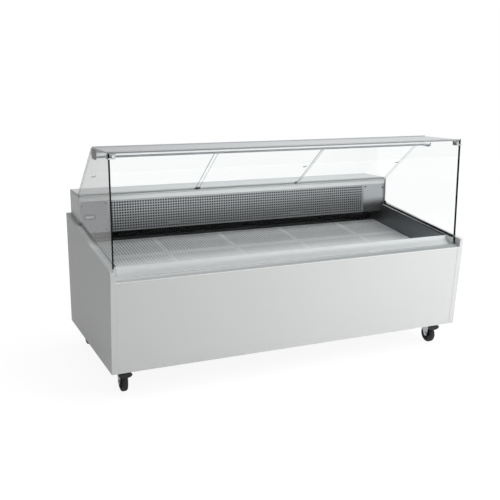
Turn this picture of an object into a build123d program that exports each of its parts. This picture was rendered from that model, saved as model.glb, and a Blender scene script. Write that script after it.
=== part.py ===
from build123d import *
import math
import os

# A refrigerated fish display case on casters, in millimetres. +X is the customer's right, -Y faces
# the customer and +Z is up. The origin is on the floor under the middle of the case. Outlines are
# drawn as (d, z), where d is the distance behind the front edge of the end panels.

# Overall size
length = 2000.0
depth = 1000.0
height = 1190.0

# Gaps between pieces that meet, that slide past each other and that turn in each other
seat_gap = 0.3
joint_gap = 0.5
turning_gap = 0.05
sheet = 2.0

# Cabinet panels. The front leans: its foot stands back from its top.
panel_thickness = 20.0
panel_bottom = 136.0
end_top_front = 643.0
end_top_rear = 770.0
front_setback = 49.0
front_panel_top = 591.0
front_panel_recess = 1.0
corner_return = 30.0

# Casters and base frame
caster_height = 140.0
caster_inset = 82.0
front_stem = 203.0
rear_stem_inset = 98.0
caster_trail = 36.0
wheel_diameter = 100.0
wheel_width = 30.0
wheel_edge = 6.0
hub_radius = 26.0
hub_recess = 4.0
axle_radius = 5.0
axle_head = 8.0
axle_head_length = 4.0
caster_plate_size = 80.0
caster_plate_thickness = 4.0
bearing_radius = 28.0
bearing_height = 8.0
king_pin_radius = 6.0
king_nut_radius = 10.0
king_nut_height = 5.0
fork_head_radius = 30.0
fork_head_thickness = 10.0
fork_wall = 3.0
fork_gap = 2.0
fork_foot = 14.0
fork_tail = 24.0
pedal_reach = 62.0
pedal_drop = 9.0
pedal_barrel = 6.0
pedal_pin = 3.0
pedal_neck_width = 26.0
pedal_neck_length = 12.0
pedal_length = 29.0
pedal_shoe = 35.0
pedal_bulge = 7.0
pedal_tip = 4.0
pedal_pad_width = 68.0
pedal_pad_height = 31.0
base_height = 40.0
base_sheet = 2.5
base_tube_width = 84.0
base_tube_wall = 3.0
base_tube_end = 10.0

# Front sill: a concave sheet from the front panel to the tub, with a flat seat for the glass
sill_rise = 12.0
sill_inner_rise = 54.0
sill_depth = 102.0
sill_flange = 46.0
seat_start = 41.0
seat_width = 16.0

# Glass and the shelf on top of it
front_glass_setback = 45.0
front_glass = 8.0
side_glass = 6.0
side_glass_inset = 22.0
channel_width = 25.0
channel_height = 33.0
channel_drop = 7.0
channel_slot = 25.0
channel_clearance = 0.3
shelf_thickness = 6.0
shelf_drop = 4.0
shelf_depth = 314.0
shelf_corner = 15.0
clamp_size = 30.0
clamp_height = 24.0
clamp_corner = 8.0
clamp_cap_radius = 9.0
clamp_cap_thickness = 4.0
clamp_cap_inset = 16.0
clip_size = 20.0
clip_thickness = 4.0
clip_rise = 3.0

# Lamp under the shelf
lamp_setback = 318.0
lamp_radius = 16.0
lamp_drop = 26.0
lamp_holder_width = 28.0
lamp_cap_length = 3.6
lamp_cap_front = 18.0
lamp_cap_back = 76.0
lamp_cap_drop = 25.0
lamp_cap_corner = 16.0

# Rear box with the evaporator
box_depth = 252.0
box_inset = 28.5
box_top = 888.0
box_wall = 3.0
box_flange = 67.0
lip_height = 23.0
worktop_height = 16.0
grille_recess = 6.0
grille_bottom = 690.0
grille_width = 1630.0
grille_pitch = 14.75
grille_hole = 7.6
grille_rows = 11
grille_first_row = 702.0
screw_radius = 4.0
screw_height = 2.5
screw_inset = 13.0
screw_low = 706.0
screw_high = 850.0
end_screw_low = 743.0
end_screw_high = 839.0
display_width = 60.0
display_height = 28.0
display_thickness = 4.0
display_inset = 53.0
display_bottom = 764.0

# Rear sliding doors, one in each of three grooves
door_thickness = 4.0
left_door_width = 680.0
middle_door_width = 662.0
right_door_width = 636.0
middle_door_left = -312.0
door_end_gap = 4.0
groove_width = 4.8
groove_pitch = 6.5
groove_floor = 2.5
groove_wall = 4.0
track_depth = 54.0
track_overhang = 10.0
track_front_height = 6.0
foot_setback = 8.0
foot_rise = 8.0
head_overhang = 26.0
head_drop = 15.0
head_track_height = 30.0
head_room = 8.0
door_grip = 14.0
finger_hole_radius = 12.5
finger_hole_inset = 47.0
right_hole_inset = 30.0
finger_hole_height = 1020.0
glass_tail = 16.0

# Tub and display plates
tub_wall = 2.5
tub_inset = 50.0
tub_front = 106.0
tub_rear = 60.0
tub_rim_drop = 12.0
plate_slope = 0.12
plate_height = 613.0
plate_reference = 762.0
plate_space = 70.0
plate_front = 112.0
plate_rear = 835.0
plate_field = 237.0
plate_width = 398.0
plate_count = 5
plate_side_gap = 5.0
plate_joint = 1.5
plate_sheet = 2.0
plate_flange = 10.0
plate_margin = 20.0
plate_band = 50.0
plate_pitch = 17.0
plate_hole = 7.0
rail_width = 15.0
rail_thickness = 5.0
rail_inset = 10.0
rail_foot = 20.0
rail_feet = 4
rail_count = 3
insulation = 40.0

# Drain, from the tub floor to under the base
drain_x = -700.0
drain_setback = 150.0
drain_radius = 16.0
drain_spigot_radius = 15.0
drain_spigot_length = 40.0
drain_bore = 13.0
drain_reach = 118.0
drain_flange_radius = 26.0
drain_flange = 2.0

# Evaporator
coil_setback = 42.0
coil_depth = 80.0
coil_half_length = 795.0
coil_bottom = 720.0
coil_height = 120.0
coil_plate = 3.0
coil_plate_margin = 5.0
fan_plate_setback = 132.0
fan_x = 400.0
fan_height = 770.0
fan_radius = 80.0
fan_ring_gap = 5.0
fan_hub = 20.0
fan_hub_length = 20.0
fan_blade_sheet = 2.0
fan_blade_chord = 40.0
fan_blade_tilt = 25.0
fan_blades = 5
fan_start = 4.0
fan_shaft = 4.0
fan_motor_radius = 28.0
fan_motor_length = 22.0
fan_arm = 8.0
fan_arms = 3

# Condensing unit behind the rear louvre
condenser_x = -330.0
condenser_width = 400.0
condenser_depth = 50.0
condenser_height = 245.0
condenser_rear_gap = 40.0
shroud_gap = 3.0
shroud_sheet = 3.0
condenser_fan_radius = 98.0
condenser_hub = 22.0
condenser_hub_length = 20.0
condenser_fan_gap = 8.0
condenser_shaft = 5.0
condenser_motor_radius = 40.0
condenser_motor_length = 60.0
condenser_fan_rise = 120.0
motor_foot = 40.0
compressor_x = 350.0
compressor_setback = 810.0
compressor_radius = 85.0
compressor_height = 160.0
compressor_dome = 40.0
compressor_base = 180.0
compressor_base_sheet = 4.0
compressor_foot = 12.0
compressor_foot_height = 8.0
stub_radius = 8.0
stub_length = 20.0
line_radius = 5.0
line_bend = 25.0
line_hole = 7.0
suction_x = 915.0
liquid_x = 885.0
line_setback = 862.0
suction_height = 810.0
liquid_height = 760.0
suction_low = 300.0
liquid_low = 220.0
discharge_low = 320.0

# Rear panel, louvre and controls
louvre_width = 800.0
louvre_bottom = 200.0
louvre_height = 230.0
louvre_thickness = 12.0
louvre_inset = 3.0
louvre_slot = 12.0
louvre_pitch = 22.0
louvre_margin = 20.0
control_x = 600.0
control_width = 160.0
control_bottom = 330.0
control_height = 80.0
control_depth = 60.0
control_flange = 10.0
control_flange_sheet = 3.0
control_inset = 2.0
switch_width = 20.0
switch_height = 30.0
switch_depth = 14.0
switch_gap = 1.0
switch_tilt = 8.0
switch_pin = 2.0
switch_pin_length = 3.0
switch_spacing = 34.0
gland_x = 850.0
gland_height = 260.0
gland_radius = 10.0
gland_flange = 16.0
gland_bore = 5.0
gland_length = 34.0

half = length / 2
rear = depth
box_front = rear - box_depth
box_half = half - box_inset
shelf_top = height - shelf_drop
shelf_bottom = shelf_top - shelf_thickness
glass_back = front_glass_setback + front_glass
shelf_front = glass_back + seat_gap
shelf_rear = glass_back + shelf_depth
side_glass_outer = half - side_glass_inset
side_glass_inner = side_glass_outer - side_glass
panel_inner = half - panel_thickness
base_top = caster_height + base_height
tub_half = half - tub_inset
tub_back = rear - tub_rear
grille_front = box_front + grille_recess


def y_of(d):
    """Y of a point that lies d behind the front edge of the end panels."""
    return d - depth / 2


def top_line(d):
    """Height of the end panels' sloping top edge."""
    return end_top_front + (end_top_rear - end_top_front) * d / depth


def front_line(z):
    """Distance d of the leaning front face at height z."""
    return front_setback * (end_top_front - z) / (end_top_front - panel_bottom)


def plate_line(d):
    """Height of the sloping top of the display plates."""
    return plate_height + plate_slope * (d - plate_reference)


def tub_floor(d):
    """Height of the tub's sloping floor, inside."""
    return plate_line(d) - plate_space


def block(x, d, z):
    """A box between pairs of x, d and z."""
    centre = Pos((x[0] + x[1]) / 2, y_of((d[0] + d[1]) / 2), (z[0] + z[1]) / 2)
    return centre * Box(x[1] - x[0], d[1] - d[0], z[1] - z[0])


def bar(outline, x_low, x_high):
    """A prism along X with an outline of (d, z) points."""
    points = [(y_of(d), z) for d, z in outline]
    face = make_face(Polyline(*points, close=True))
    return extrude(Plane.YZ.offset(x_low) * face, amount=x_high - x_low)


def rod(radius, x, d, z):
    """A cylinder along whichever of x, d and z is a pair."""
    if isinstance(x, tuple):
        place = Plane((x[0], y_of(d), z), z_dir=(1, 0, 0))
        reach = x[1] - x[0]
    elif isinstance(d, tuple):
        place = Plane((x, y_of(d[0]), z), z_dir=(0, 1, 0))
        reach = d[1] - d[0]
    else:
        place = Plane((x, y_of(d), z[0]))
        reach = z[1] - z[0]
    return extrude(place * Circle(radius), amount=reach)


def both_sides(shape):
    """The shape and its mirror image on the other side of the case."""
    return [shape, mirror(shape, about=Plane.YZ)]


def holed_plate(width, height_of_plate, holes, hole_radius, thickness):
    """A flat sheet on XY around the origin, with round holes at the given points."""
    outline = Wire.make_rect(width, height_of_plate)
    rims = [Wire.make_circle(hole_radius, Plane((x, y, 0))) for x, y in holes]
    return extrude(Face(outline, rims), amount=thickness, dir=(0, 0, 1))


def grid(count_x, count_y, pitch, middle_y):
    """Points of a square grid, centred on x = 0 and y = middle_y."""
    rows = [middle_y + (row - (count_y - 1) / 2) * pitch for row in range(count_y)]
    columns = [(column - (count_x - 1) / 2) * pitch for column in range(count_x)]
    return [(x, y) for y in rows for x in columns]


def save(name, *shapes):
    """Write the solids of the shapes as one node."""
    solids = [solid for shape in shapes for solid in shape.solids()]
    node = solids[0] if len(solids) == 1 else Compound(solids)
    export_step(node, f"parts/{name}.step")


# Base frame: a tray with turned-down edges, and two tubes that carry the casters
def base_frame():
    front = front_line(panel_bottom) + front_panel_recess + panel_thickness
    back = rear - panel_thickness
    tray = block((-panel_inner, panel_inner), (front, back), (caster_height, base_top))
    inside = block(
        (-panel_inner + base_sheet, panel_inner - base_sheet),
        (front + base_sheet, back - base_sheet),
        (caster_height, base_top - base_sheet),
    )
    tray -= inside
    centre = half - caster_inset
    for side in (-1, 1):
        low = side * centre - base_tube_width / 2
        high = side * centre + base_tube_width / 2
        ends = (front + base_tube_end, back - base_tube_end)
        tube = block((low, high), ends, (caster_height, base_top - base_sheet))
        tube -= block(
            (low + base_tube_wall, high - base_tube_wall),
            ends,
            (caster_height + base_tube_wall, base_top - base_sheet - base_tube_wall),
        )
        tray += tube
    tray -= rod(drain_radius + joint_gap, drain_x, drain_setback, (caster_height, base_top))
    return tray


# Casters: a fixed plate with its king pin, a swivelling fork with its axle, a wheel and, in front,
# a brake pedal. The wheel trails towards the front on front casters and to the rear on rear ones.
fork_top = caster_height - caster_plate_thickness - bearing_height - seat_gap
fork_bottom = fork_top - fork_head_thickness
fork_inner = wheel_width / 2 + fork_gap
fork_outer = fork_inner + fork_wall
wheel_radius = wheel_diameter / 2
pedal_pivot_height = fork_top - pedal_drop


def caster_plate(x, stem):
    reach = caster_plate_size / 2
    bottom = caster_height - caster_plate_thickness
    plate = block((x - reach, x + reach), (stem - reach, stem + reach), (bottom, caster_height))
    plate += rod(bearing_radius, x, stem, (bottom - bearing_height, bottom))
    nut_top = fork_bottom - seat_gap
    plate += rod(king_pin_radius, x, stem, (nut_top, bottom))
    plate += rod(king_nut_radius, x, stem, (nut_top - king_nut_height, nut_top))
    return plate


def caster_fork(x, stem, way):
    axle_d = stem + way * caster_trail
    nose = pedal_reach + pedal_barrel
    wing = [
        (stem - way * fork_tail, fork_top),
        (stem + way * nose, fork_top),
        (stem + way * nose, fork_top - 2 * pedal_drop),
        (axle_d + way * fork_foot, wheel_radius),
        (axle_d - way * fork_foot, wheel_radius),
        (stem - way * fork_tail, fork_bottom),
    ]
    fork = rod(fork_head_radius, x, stem, (fork_bottom, fork_top))
    head = sorted((stem - way * fork_tail, axle_d))
    fork += block((x - fork_outer, x + fork_outer), head, (fork_bottom, fork_top))
    for side in (-1, 1):
        span = sorted((x + side * fork_inner, x + side * fork_outer))
        fork += bar(wing, *span)
        fork += rod(fork_foot, tuple(span), axle_d, wheel_radius)
    ends = (x - fork_outer, x + fork_outer)
    fork -= rod(axle_radius, ends, axle_d, wheel_radius)
    fork -= rod(king_pin_radius + turning_gap, x, stem, (fork_bottom, fork_top))
    pedal_d = stem + way * pedal_reach
    fork -= rod(pedal_pin + turning_gap, ends, pedal_d, pedal_pivot_height)
    axle = rod(axle_radius, ends, axle_d, wheel_radius)
    for side in (-1, 1):
        face = x + side * fork_outer
        span = sorted((face, face + side * axle_head_length))
        axle += rod(axle_head, tuple(span), axle_d, wheel_radius)
    return [fork, axle]


def caster_wheel(x, stem, way):
    axle_d = stem + way * caster_trail
    span = (x - wheel_width / 2, x + wheel_width / 2)
    wheel = rod(wheel_radius, span, axle_d, wheel_radius)
    rims = wheel.edges().filter_by(GeomType.CIRCLE)
    wheel = fillet(rims, wheel_edge)
    for face, inwards in ((span[0], 1), (span[1], -1)):
        pocket = sorted((face, face + inwards * hub_recess))
        ring = rod(hub_radius, tuple(pocket), axle_d, wheel_radius)
        ring -= rod(axle_head, tuple(pocket), axle_d, wheel_radius)
        wheel -= ring
    wheel -= rod(axle_radius + turning_gap, span, axle_d, wheel_radius)
    return wheel


def brake_pedal(x, stem, way):
    """A lever that arches from its pivot in the fork down in front of the wheel, with an oval pad."""
    pivot_d = stem + way * pedal_reach

    def spot(reach, drop):
        return (y_of(pivot_d + way * reach), pedal_pivot_height - drop)

    crown = spot(0, -pedal_barrel)
    heel = spot(0, pedal_barrel)
    toe = spot(pedal_length, pedal_shoe)
    shoe = spot(pedal_length - pedal_tip, pedal_shoe - pedal_tip / 4)
    back = spot(pedal_length - 3 * pedal_tip, pedal_shoe / 2)
    outer = ThreePointArc(crown, spot(pedal_length - pedal_tip, pedal_bulge), toe)
    inner = ThreePointArc(shoe, back, heel)
    side = make_face([outer, Line(toe, shoe), inner, Line(heel, crown)])

    def lever(width):
        return extrude(Plane.YZ.offset(x - width / 2) * side, amount=width)

    pad_middle = pedal_pivot_height - pedal_shoe + pedal_pad_height / 2
    pad_start = pivot_d + way * pedal_neck_length
    oval = Plane((x, y_of(pad_start), pad_middle), x_dir=(1, 0, 0), z_dir=(0, way, 0))
    pad = lever(pedal_pad_width)
    pad &= extrude(oval * Ellipse(pedal_pad_width / 2, pedal_pad_height / 2), amount=pedal_length)
    barrel = fork_inner - seat_gap
    pedal = lever(pedal_neck_width) + pad
    pedal += rod(pedal_barrel, (x - barrel, x + barrel), pivot_d, pedal_pivot_height)
    return pedal + rod(pedal_pin, (x - fork_outer, x + fork_outer), pivot_d, pedal_pivot_height)


# End panels: foam-filled sheet panels with a sloping top and a return along the front edge
def end_panel():
    outline = [
        (front_setback, panel_bottom),
        (0, end_top_front),
        (depth, end_top_rear),
        (depth, panel_bottom),
    ]
    panel = bar(outline, panel_inner, half)
    edge = [
        (front_line(panel_bottom), panel_bottom),
        (front_line(front_panel_top), front_panel_top),
        (front_line(front_panel_top) + panel_thickness, front_panel_top),
        (front_line(panel_bottom) + panel_thickness, panel_bottom),
    ]
    return panel + bar(edge, half - corner_return, panel_inner)


def front_panel():
    face = front_panel_recess
    outline = [
        (front_line(panel_bottom) + face, panel_bottom),
        (front_line(front_panel_top) + face, front_panel_top),
        (front_line(front_panel_top) + face + panel_thickness, front_panel_top),
        (front_line(panel_bottom) + face + panel_thickness, panel_bottom),
    ]
    reach = half - corner_return - joint_gap
    return bar(outline, -reach, reach)


# Front sill: sheet with a concave run on each side of the flat seat that the front glass stands on
def front_sill():
    lip = front_line(front_panel_top) + front_panel_recess
    low = front_panel_top + sheet
    seat = low + sill_rise
    crest = low + sill_inner_rise
    inner = sill_depth - sheet
    seat_end = seat_start + seat_width

    def run(drop):
        return [
            TangentArc((y_of(seat_start), seat - drop), (y_of(lip), low - drop), tangent=(-1, 0)),
            Line((y_of(seat_start), seat - drop), (y_of(seat_end), seat - drop)),
            TangentArc((y_of(seat_end), seat - drop), (y_of(inner), crest - drop), tangent=(1, 0)),
        ]

    ends = [
        Line((y_of(lip), low), (y_of(lip), low - sheet)),
        Line((y_of(inner), crest), (y_of(inner), crest - sheet)),
    ]
    face = make_face(run(0) + run(sheet) + ends)
    reach = panel_inner - seat_gap
    sill = extrude(Plane.YZ.offset(-reach) * face, amount=2 * reach)
    sill += block((-reach, reach), (inner, sill_depth), (crest - sill_flange, crest))
    corner = (panel_inner - channel_width - joint_gap, half)
    for notch in both_sides(block(corner, (seat_end, sill_depth), (front_panel_top, crest))):
        sill -= notch
    return sill


# Tub: an open stainless liner welded from five sheets, a sloping floor and four walls whose rim
# follows the end panels
def tub_rim(d):
    return top_line(d) - tub_rim_drop


def tub_bottom(d):
    return tub_floor(d) - tub_wall


def display_tub():
    front = tub_front - tub_wall
    back = tub_back + tub_wall
    outer = tub_half + tub_wall

    def sheet_between(start, stop, low, high):
        return [(start, low(start)), (start, high(start)), (stop, high(stop)), (stop, low(stop))]

    floor = bar(sheet_between(front, back, tub_bottom, tub_floor), -outer, outer)
    for x, d, radius in tub_holes():
        floor -= rod(radius, x, d, (tub_floor(tub_front) - insulation, grille_bottom))
    front_wall = bar(sheet_between(front, tub_front, tub_floor, tub_rim), -outer, outer)
    rear_wall = bar(sheet_between(tub_back, back, tub_floor, tub_rim), -outer, outer)
    side_wall = bar(sheet_between(tub_front, tub_back, tub_floor, tub_rim), tub_half, outer)
    return [floor, front_wall, rear_wall] + both_sides(side_wall)


def tub_holes():
    """Places and radii of the holes for the drain and the two refrigerant lines."""
    return [
        (drain_x, drain_setback, drain_radius + joint_gap),
        (suction_x, line_drop, line_hole),
        (liquid_x, line_drop, line_hole),
    ]


def tub_insulation():
    reach = panel_inner - seat_gap
    front = tub_front - tub_wall - seat_gap
    back = tub_back + tub_wall + seat_gap
    end = rear - panel_thickness - seat_gap
    skin = tub_wall + seat_gap
    side_top = channel_drop + channel_height + joint_gap
    front_top = front_panel_top - seat_gap
    behind_panel = front_panel_recess + panel_thickness + seat_gap
    floor_front = tub_floor(front) - skin - insulation
    outline = [
        (front_line(floor_front) + behind_panel, floor_front),
        (front_line(front_top) + behind_panel, front_top),
        (front, front_top),
        (front, tub_floor(front) - skin),
        (back, tub_floor(back) - skin),
        (back, top_line(back) - side_top),
        (end, top_line(end) - side_top),
        (end, tub_floor(end) - skin - insulation),
    ]
    foam = bar(outline, -reach, reach)
    cheek = [
        (front, tub_floor(front) - skin),
        (front, top_line(front) - side_top),
        (back, top_line(back) - side_top),
        (back, tub_floor(back) - skin),
    ]
    inner = tub_half + tub_wall + seat_gap
    for wall in both_sides(bar(cheek, inner, reach)):
        foam += wall
    upper = box_half - box_wall - seat_gap
    foam += block((-upper, upper), (back, end), (tub_rim(tub_back) - insulation, box_top - sheet))
    for x, d, radius in tub_holes():
        foam -= rod(radius, x, d, (base_top, grille_bottom))
    return foam


# Channels for the side glasses, along the inside of each end panel's sloping top
def glass_channel():
    start = glass_back + joint_gap
    stop = box_front - joint_gap
    bottom = channel_drop + channel_height

    def strip(low, high):
        return [
            (start, top_line(start) - low),
            (start, top_line(start) - high),
            (stop, top_line(stop) - high),
            (stop, top_line(stop) - low),
        ]

    channel = bar(strip(bottom, channel_drop), half - panel_thickness - channel_width, panel_inner)
    slot = strip(channel_drop + channel_slot, 0)
    low = side_glass_inner - channel_clearance
    return channel - bar(slot, low, side_glass_outer + channel_clearance)


# Glass: the front pane stands on the sill, the side panes stand in their channels
def front_pane():
    bottom = front_panel_top + sheet + sill_rise + seat_gap
    span = (front_glass_setback, glass_back)
    return block((-side_glass_outer, side_glass_outer), span, (bottom, height))


def side_pane():
    start = glass_back + seat_gap
    stop = box_front - joint_gap
    seat = channel_drop + channel_slot - seat_gap
    track_top = box_top + worktop_height
    outline = [
        (start, top_line(start) - seat),
        (start, shelf_bottom),
        (door_line(0, shelf_bottom) + glass_tail, shelf_bottom),
        (door_line(0, track_top) + glass_tail, track_top),
        (stop, track_top),
        (stop, top_line(stop) - seat),
    ]
    return bar(outline, side_glass_inner, side_glass_outer)


def top_shelf():
    across = (-side_glass_outer, side_glass_outer)
    shelf = block(across, (shelf_front, shelf_rear), (shelf_bottom, shelf_top))
    corners = shelf.edges().filter_by(Axis.Z).sort_by(Axis.Y)[-2:]
    return fillet(corners, shelf_corner)


def glass_clamp():
    """A corner block under the shelf, its caps on the front and side glass, and a clip at the rear."""
    outer = side_glass_inner - seat_gap
    low = shelf_bottom - clamp_height
    span = (shelf_front, shelf_front + clamp_size)
    corner = block((outer - clamp_size, outer), span, (low, shelf_bottom))
    rounded = corner.edges().filter_by(Axis.Z).sort_by(SortBy.DISTANCE)[:1]
    corner = fillet(rounded, clamp_size - clamp_corner)
    face = front_glass_setback
    middle = low + clamp_height / 2
    cap = rod(clamp_cap_radius, outer - clamp_cap_inset, (face - clamp_cap_thickness, face), middle)
    beside = (side_glass_outer, side_glass_outer + clamp_cap_thickness)
    side_cap = rod(clamp_cap_radius, beside, shelf_front + clamp_cap_inset, middle)
    end = box_front - joint_gap
    seat = top_line(end) - channel_drop + clip_rise
    grip = (side_glass_inner - clip_thickness, side_glass_inner)
    clip = block(grip, (end - clip_size, end), (seat, seat + clip_size))
    return [corner, cap, side_cap, clip]


# Lamp: a tube in a holder under the shelf, closed by a thin end plate beside each side glass, which
# also covers the end of the head track
lamp_height = shelf_bottom - lamp_drop
lamp_half = side_glass_inner - 2 * seat_gap - lamp_cap_length


def lamp_tube():
    return rod(lamp_radius, (-lamp_half, lamp_half), lamp_setback, lamp_height)


def lamp_holder():
    reach = lamp_holder_width / 2
    span = (lamp_setback - reach, lamp_setback + reach)
    holder = block((-lamp_half, lamp_half), span, (lamp_height, shelf_bottom))
    holder -= rod(lamp_radius + seat_gap, (-lamp_half, lamp_half), lamp_setback, lamp_height)
    cap_span = (lamp_half + seat_gap, lamp_half + seat_gap + lamp_cap_length)
    wide = (lamp_setback - lamp_cap_front, lamp_setback + lamp_cap_back)
    cap = block(cap_span, wide, (lamp_height - lamp_cap_drop, shelf_bottom))
    lower = cap.edges().filter_by(Axis.X).sort_by(Axis.Z)[:2]
    return [holder] + both_sides(fillet(lower, lamp_cap_corner))


# Rear doors lean from the front edge of the box up to a head track behind the lamp, whose front
# part lies under the rear edge of the shelf
foot_d = box_front + foot_setback
foot_z = box_top + foot_rise
head_d = shelf_rear + head_overhang
head_z = shelf_bottom - head_drop


def door_sine():
    """Sine of the doors' lean from the horizontal."""
    return (head_z - foot_z) / math.hypot(head_z - foot_z, foot_d - head_d)


def door_line(groove, z):
    """Distance d of the middle of groove -1, 0 or 1 at height z."""
    lean = (foot_d - head_d) / (head_z - foot_z)
    return foot_d + groove * groove_pitch / door_sine() - (z - foot_z) * lean


def leaning(groove, width, low, high):
    """Outline of a leaning strip in a groove, cut level at both ends."""
    reach = width / 2 / door_sine()
    return [
        (door_line(groove, low) - reach, low),
        (door_line(groove, low) + reach, low),
        (door_line(groove, high) + reach, high),
        (door_line(groove, high) - reach, high),
    ]


track_half = box_half - door_end_gap
track_front = box_front - track_overhang
door_bottom = box_top + groove_floor + seat_gap
head_mouth = shelf_bottom - head_track_height
door_top = head_mouth + door_grip


def lower_track():
    """A ledge with three grooves, sloping down to a low front edge."""
    top = box_top + worktop_height
    back = track_front + track_depth
    outline = [
        (track_front, box_top),
        (track_front, box_top + track_front_height),
        (door_line(1, top) + (groove_width / 2 + groove_wall) / door_sine(), top),
        (back, top),
        (back, box_top),
    ]
    track = bar(outline, -track_half, track_half)
    for groove in (-1, 0, 1):
        cut = leaning(groove, groove_width, box_top + groove_floor, top + groove_floor)
        track -= bar(cut, -track_half, track_half)
    return track


def upper_track():
    wall = groove_width / 2 + groove_wall
    reach = wall / door_sine()
    outline = [
        (door_line(-1, head_mouth) - reach, head_mouth),
        (door_line(1, head_mouth) + reach, head_mouth),
        (door_line(1, shelf_bottom) + reach, shelf_bottom),
        (door_line(-1, shelf_bottom) - reach, shelf_bottom),
    ]
    track = bar(outline, -track_half, track_half)
    for groove in (-1, 0, 1):
        cut = leaning(groove, groove_width, head_mouth - groove_floor, door_top + head_room)
        track -= bar(cut, -track_half, track_half)
    return track


def rear_door(groove, left, width, pull_x):
    door = bar(leaning(groove, door_thickness, door_bottom, door_top), left, left + width)
    middle = (pull_x, y_of(door_line(groove, finger_hole_height)), finger_hole_height)
    cosine = math.sqrt(1 - door_sine() ** 2)
    through = Plane(middle, x_dir=(1, 0, 0), z_dir=(0, door_sine(), cosine))
    hole = extrude(through * Circle(finger_hole_radius), amount=2 * door_thickness, both=True)
    return door - hole


# Rear box: housing with end walls and a front lip, worktop, air grille and its end plates
def evaporator_housing():
    back = rear - panel_thickness
    foot = channel_drop + channel_height
    wall = [
        (box_front, top_line(box_front) - foot),
        (box_front, box_top),
        (back, box_top),
        (back, top_line(back) - foot),
    ]
    across = (-box_half, box_half)
    housing = block(across, (box_front, box_front + box_wall), (box_top - lip_height, box_top))
    housing += block(across, (box_front, box_front + box_flange), (box_top - box_wall, box_top))
    for side in both_sides(bar(wall, box_half - box_wall, box_half)):
        housing += side
    return housing


def rear_worktop():
    front = track_front + track_depth + joint_gap
    top = box_top + worktop_height
    cover = block((-box_half, box_half), (front, rear), (box_top, top))
    inside = block(
        (-box_half + sheet, box_half - sheet), (front + sheet, rear - sheet), (box_top, top - sheet)
    )
    return cover - inside


grille_top = box_top - box_wall - seat_gap


def air_grille():
    tall = grille_top - grille_bottom
    middle = (grille_top + grille_bottom) / 2
    columns = int((grille_width - grille_pitch) / grille_pitch)
    rows_middle = grille_first_row + (grille_rows - 1) * grille_pitch / 2 - middle
    holes = grid(columns, grille_rows, grille_pitch, rows_middle)
    plate = holed_plate(grille_width, tall, holes, grille_hole / 2, sheet)
    return Plane((0, y_of(grille_front + sheet), middle), x_dir=(1, 0, 0), z_dir=(0, -1, 0)) * plate


def grille_end_plate():
    inner = grille_width / 2 + joint_gap
    span = (grille_front, grille_front + sheet)
    step = tub_rim(grille_front + sheet) + joint_gap
    plate = block((inner, box_half - box_wall - seat_gap), span, (step, grille_top))
    return plate + block((inner, tub_half - seat_gap), span, (grille_bottom, step))


def grille_screws():
    face = (grille_front - screw_height, grille_front)
    inner = grille_width / 2 + screw_inset
    outer = box_half - box_wall - screw_inset
    places = [(inner, screw_low), (inner, screw_high), (outer, end_screw_low), (outer, end_screw_high)]
    return [half_set for x, z in places for half_set in both_sides(rod(screw_radius, x, face, z))]


def temperature_display():
    left = -half + display_inset
    face = (grille_front - display_thickness, grille_front)
    return block((left, left + display_width), face, (display_bottom, display_bottom + display_height))


# Display plates: sheets with two perforated fields, a plain apron in front and turned-down front and
# rear edges, lying on rails in the tub
plate_span = plate_rear - plate_front
plate_angle = math.atan(plate_slope)
plate_length = plate_span / math.cos(plate_angle)
plates_left = -tub_half + plate_side_gap
plates_right = tub_half - plate_side_gap


def plate_edges(number):
    """Left and right of a plate: all are alike except the last, which fills up the row."""
    left = plates_left + number * (plate_width + plate_joint)
    last = number == plate_count - 1
    return left, plates_right if last else left + plate_width


def plate_plane(x, d, drop):
    """A plane in the slope of the plates, lying drop under their top."""
    normal = (0, -math.sin(plate_angle), math.cos(plate_angle))
    place = Plane((x, y_of(d), plate_line(d)), x_dir=(1, 0, 0), z_dir=normal)
    return place.offset(-drop)


def display_plate(number):
    left, right = plate_edges(number)
    width = right - left
    columns = int((width - 2 * plate_margin) / plate_pitch) + 1
    rows = int(plate_field / plate_pitch) + 1
    rear_field = (plate_length - plate_field) / 2 - plate_margin
    front_field = rear_field - plate_field - plate_band
    holes = grid(columns, rows, plate_pitch, rear_field) + grid(columns, rows, plate_pitch, front_field)
    plate = holed_plate(width, plate_length, holes, plate_hole / 2, plate_sheet)
    lip = plate_flange - plate_sheet
    edge = (plate_length - plate_sheet) / 2
    for way in (-1, 1):
        plate += Pos(0, way * edge, -lip / 2) * Box(width, plate_sheet, lip)
    return plate_plane((left + right) / 2, (plate_front + plate_rear) / 2, plate_sheet) * plate


def plate_rail(middle):
    """A sloping bar under the plates, on feet that stand on the tub floor."""
    reach = tub_half - seat_gap
    under = plate_sheet / math.cos(plate_angle)
    low = rail_thickness / math.cos(plate_angle) + under
    start = middle - rail_width / 2
    stop = middle + rail_width / 2
    outline = [
        (start, plate_line(start) - low),
        (start, plate_line(start) - under),
        (stop, plate_line(stop) - under),
        (stop, plate_line(stop) - low),
    ]
    rail = bar(outline, -reach, reach)
    foot = [
        (start, tub_floor(start)),
        (start, plate_line(start) - low),
        (stop, plate_line(stop) - low),
        (stop, tub_floor(stop)),
    ]
    step = 2 * (reach - rail_foot) / (rail_feet - 1)
    for number in range(rail_feet):
        left = -reach + rail_foot / 2 + number * step
        rail += bar(foot, left, left + rail_foot)
    return rail


def plate_rails():
    inset = plate_flange + rail_inset + rail_width / 2
    step = (plate_span - 2 * inset) / (rail_count - 1)
    return [plate_rail(plate_front + inset + number * step) for number in range(rail_count)]


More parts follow.
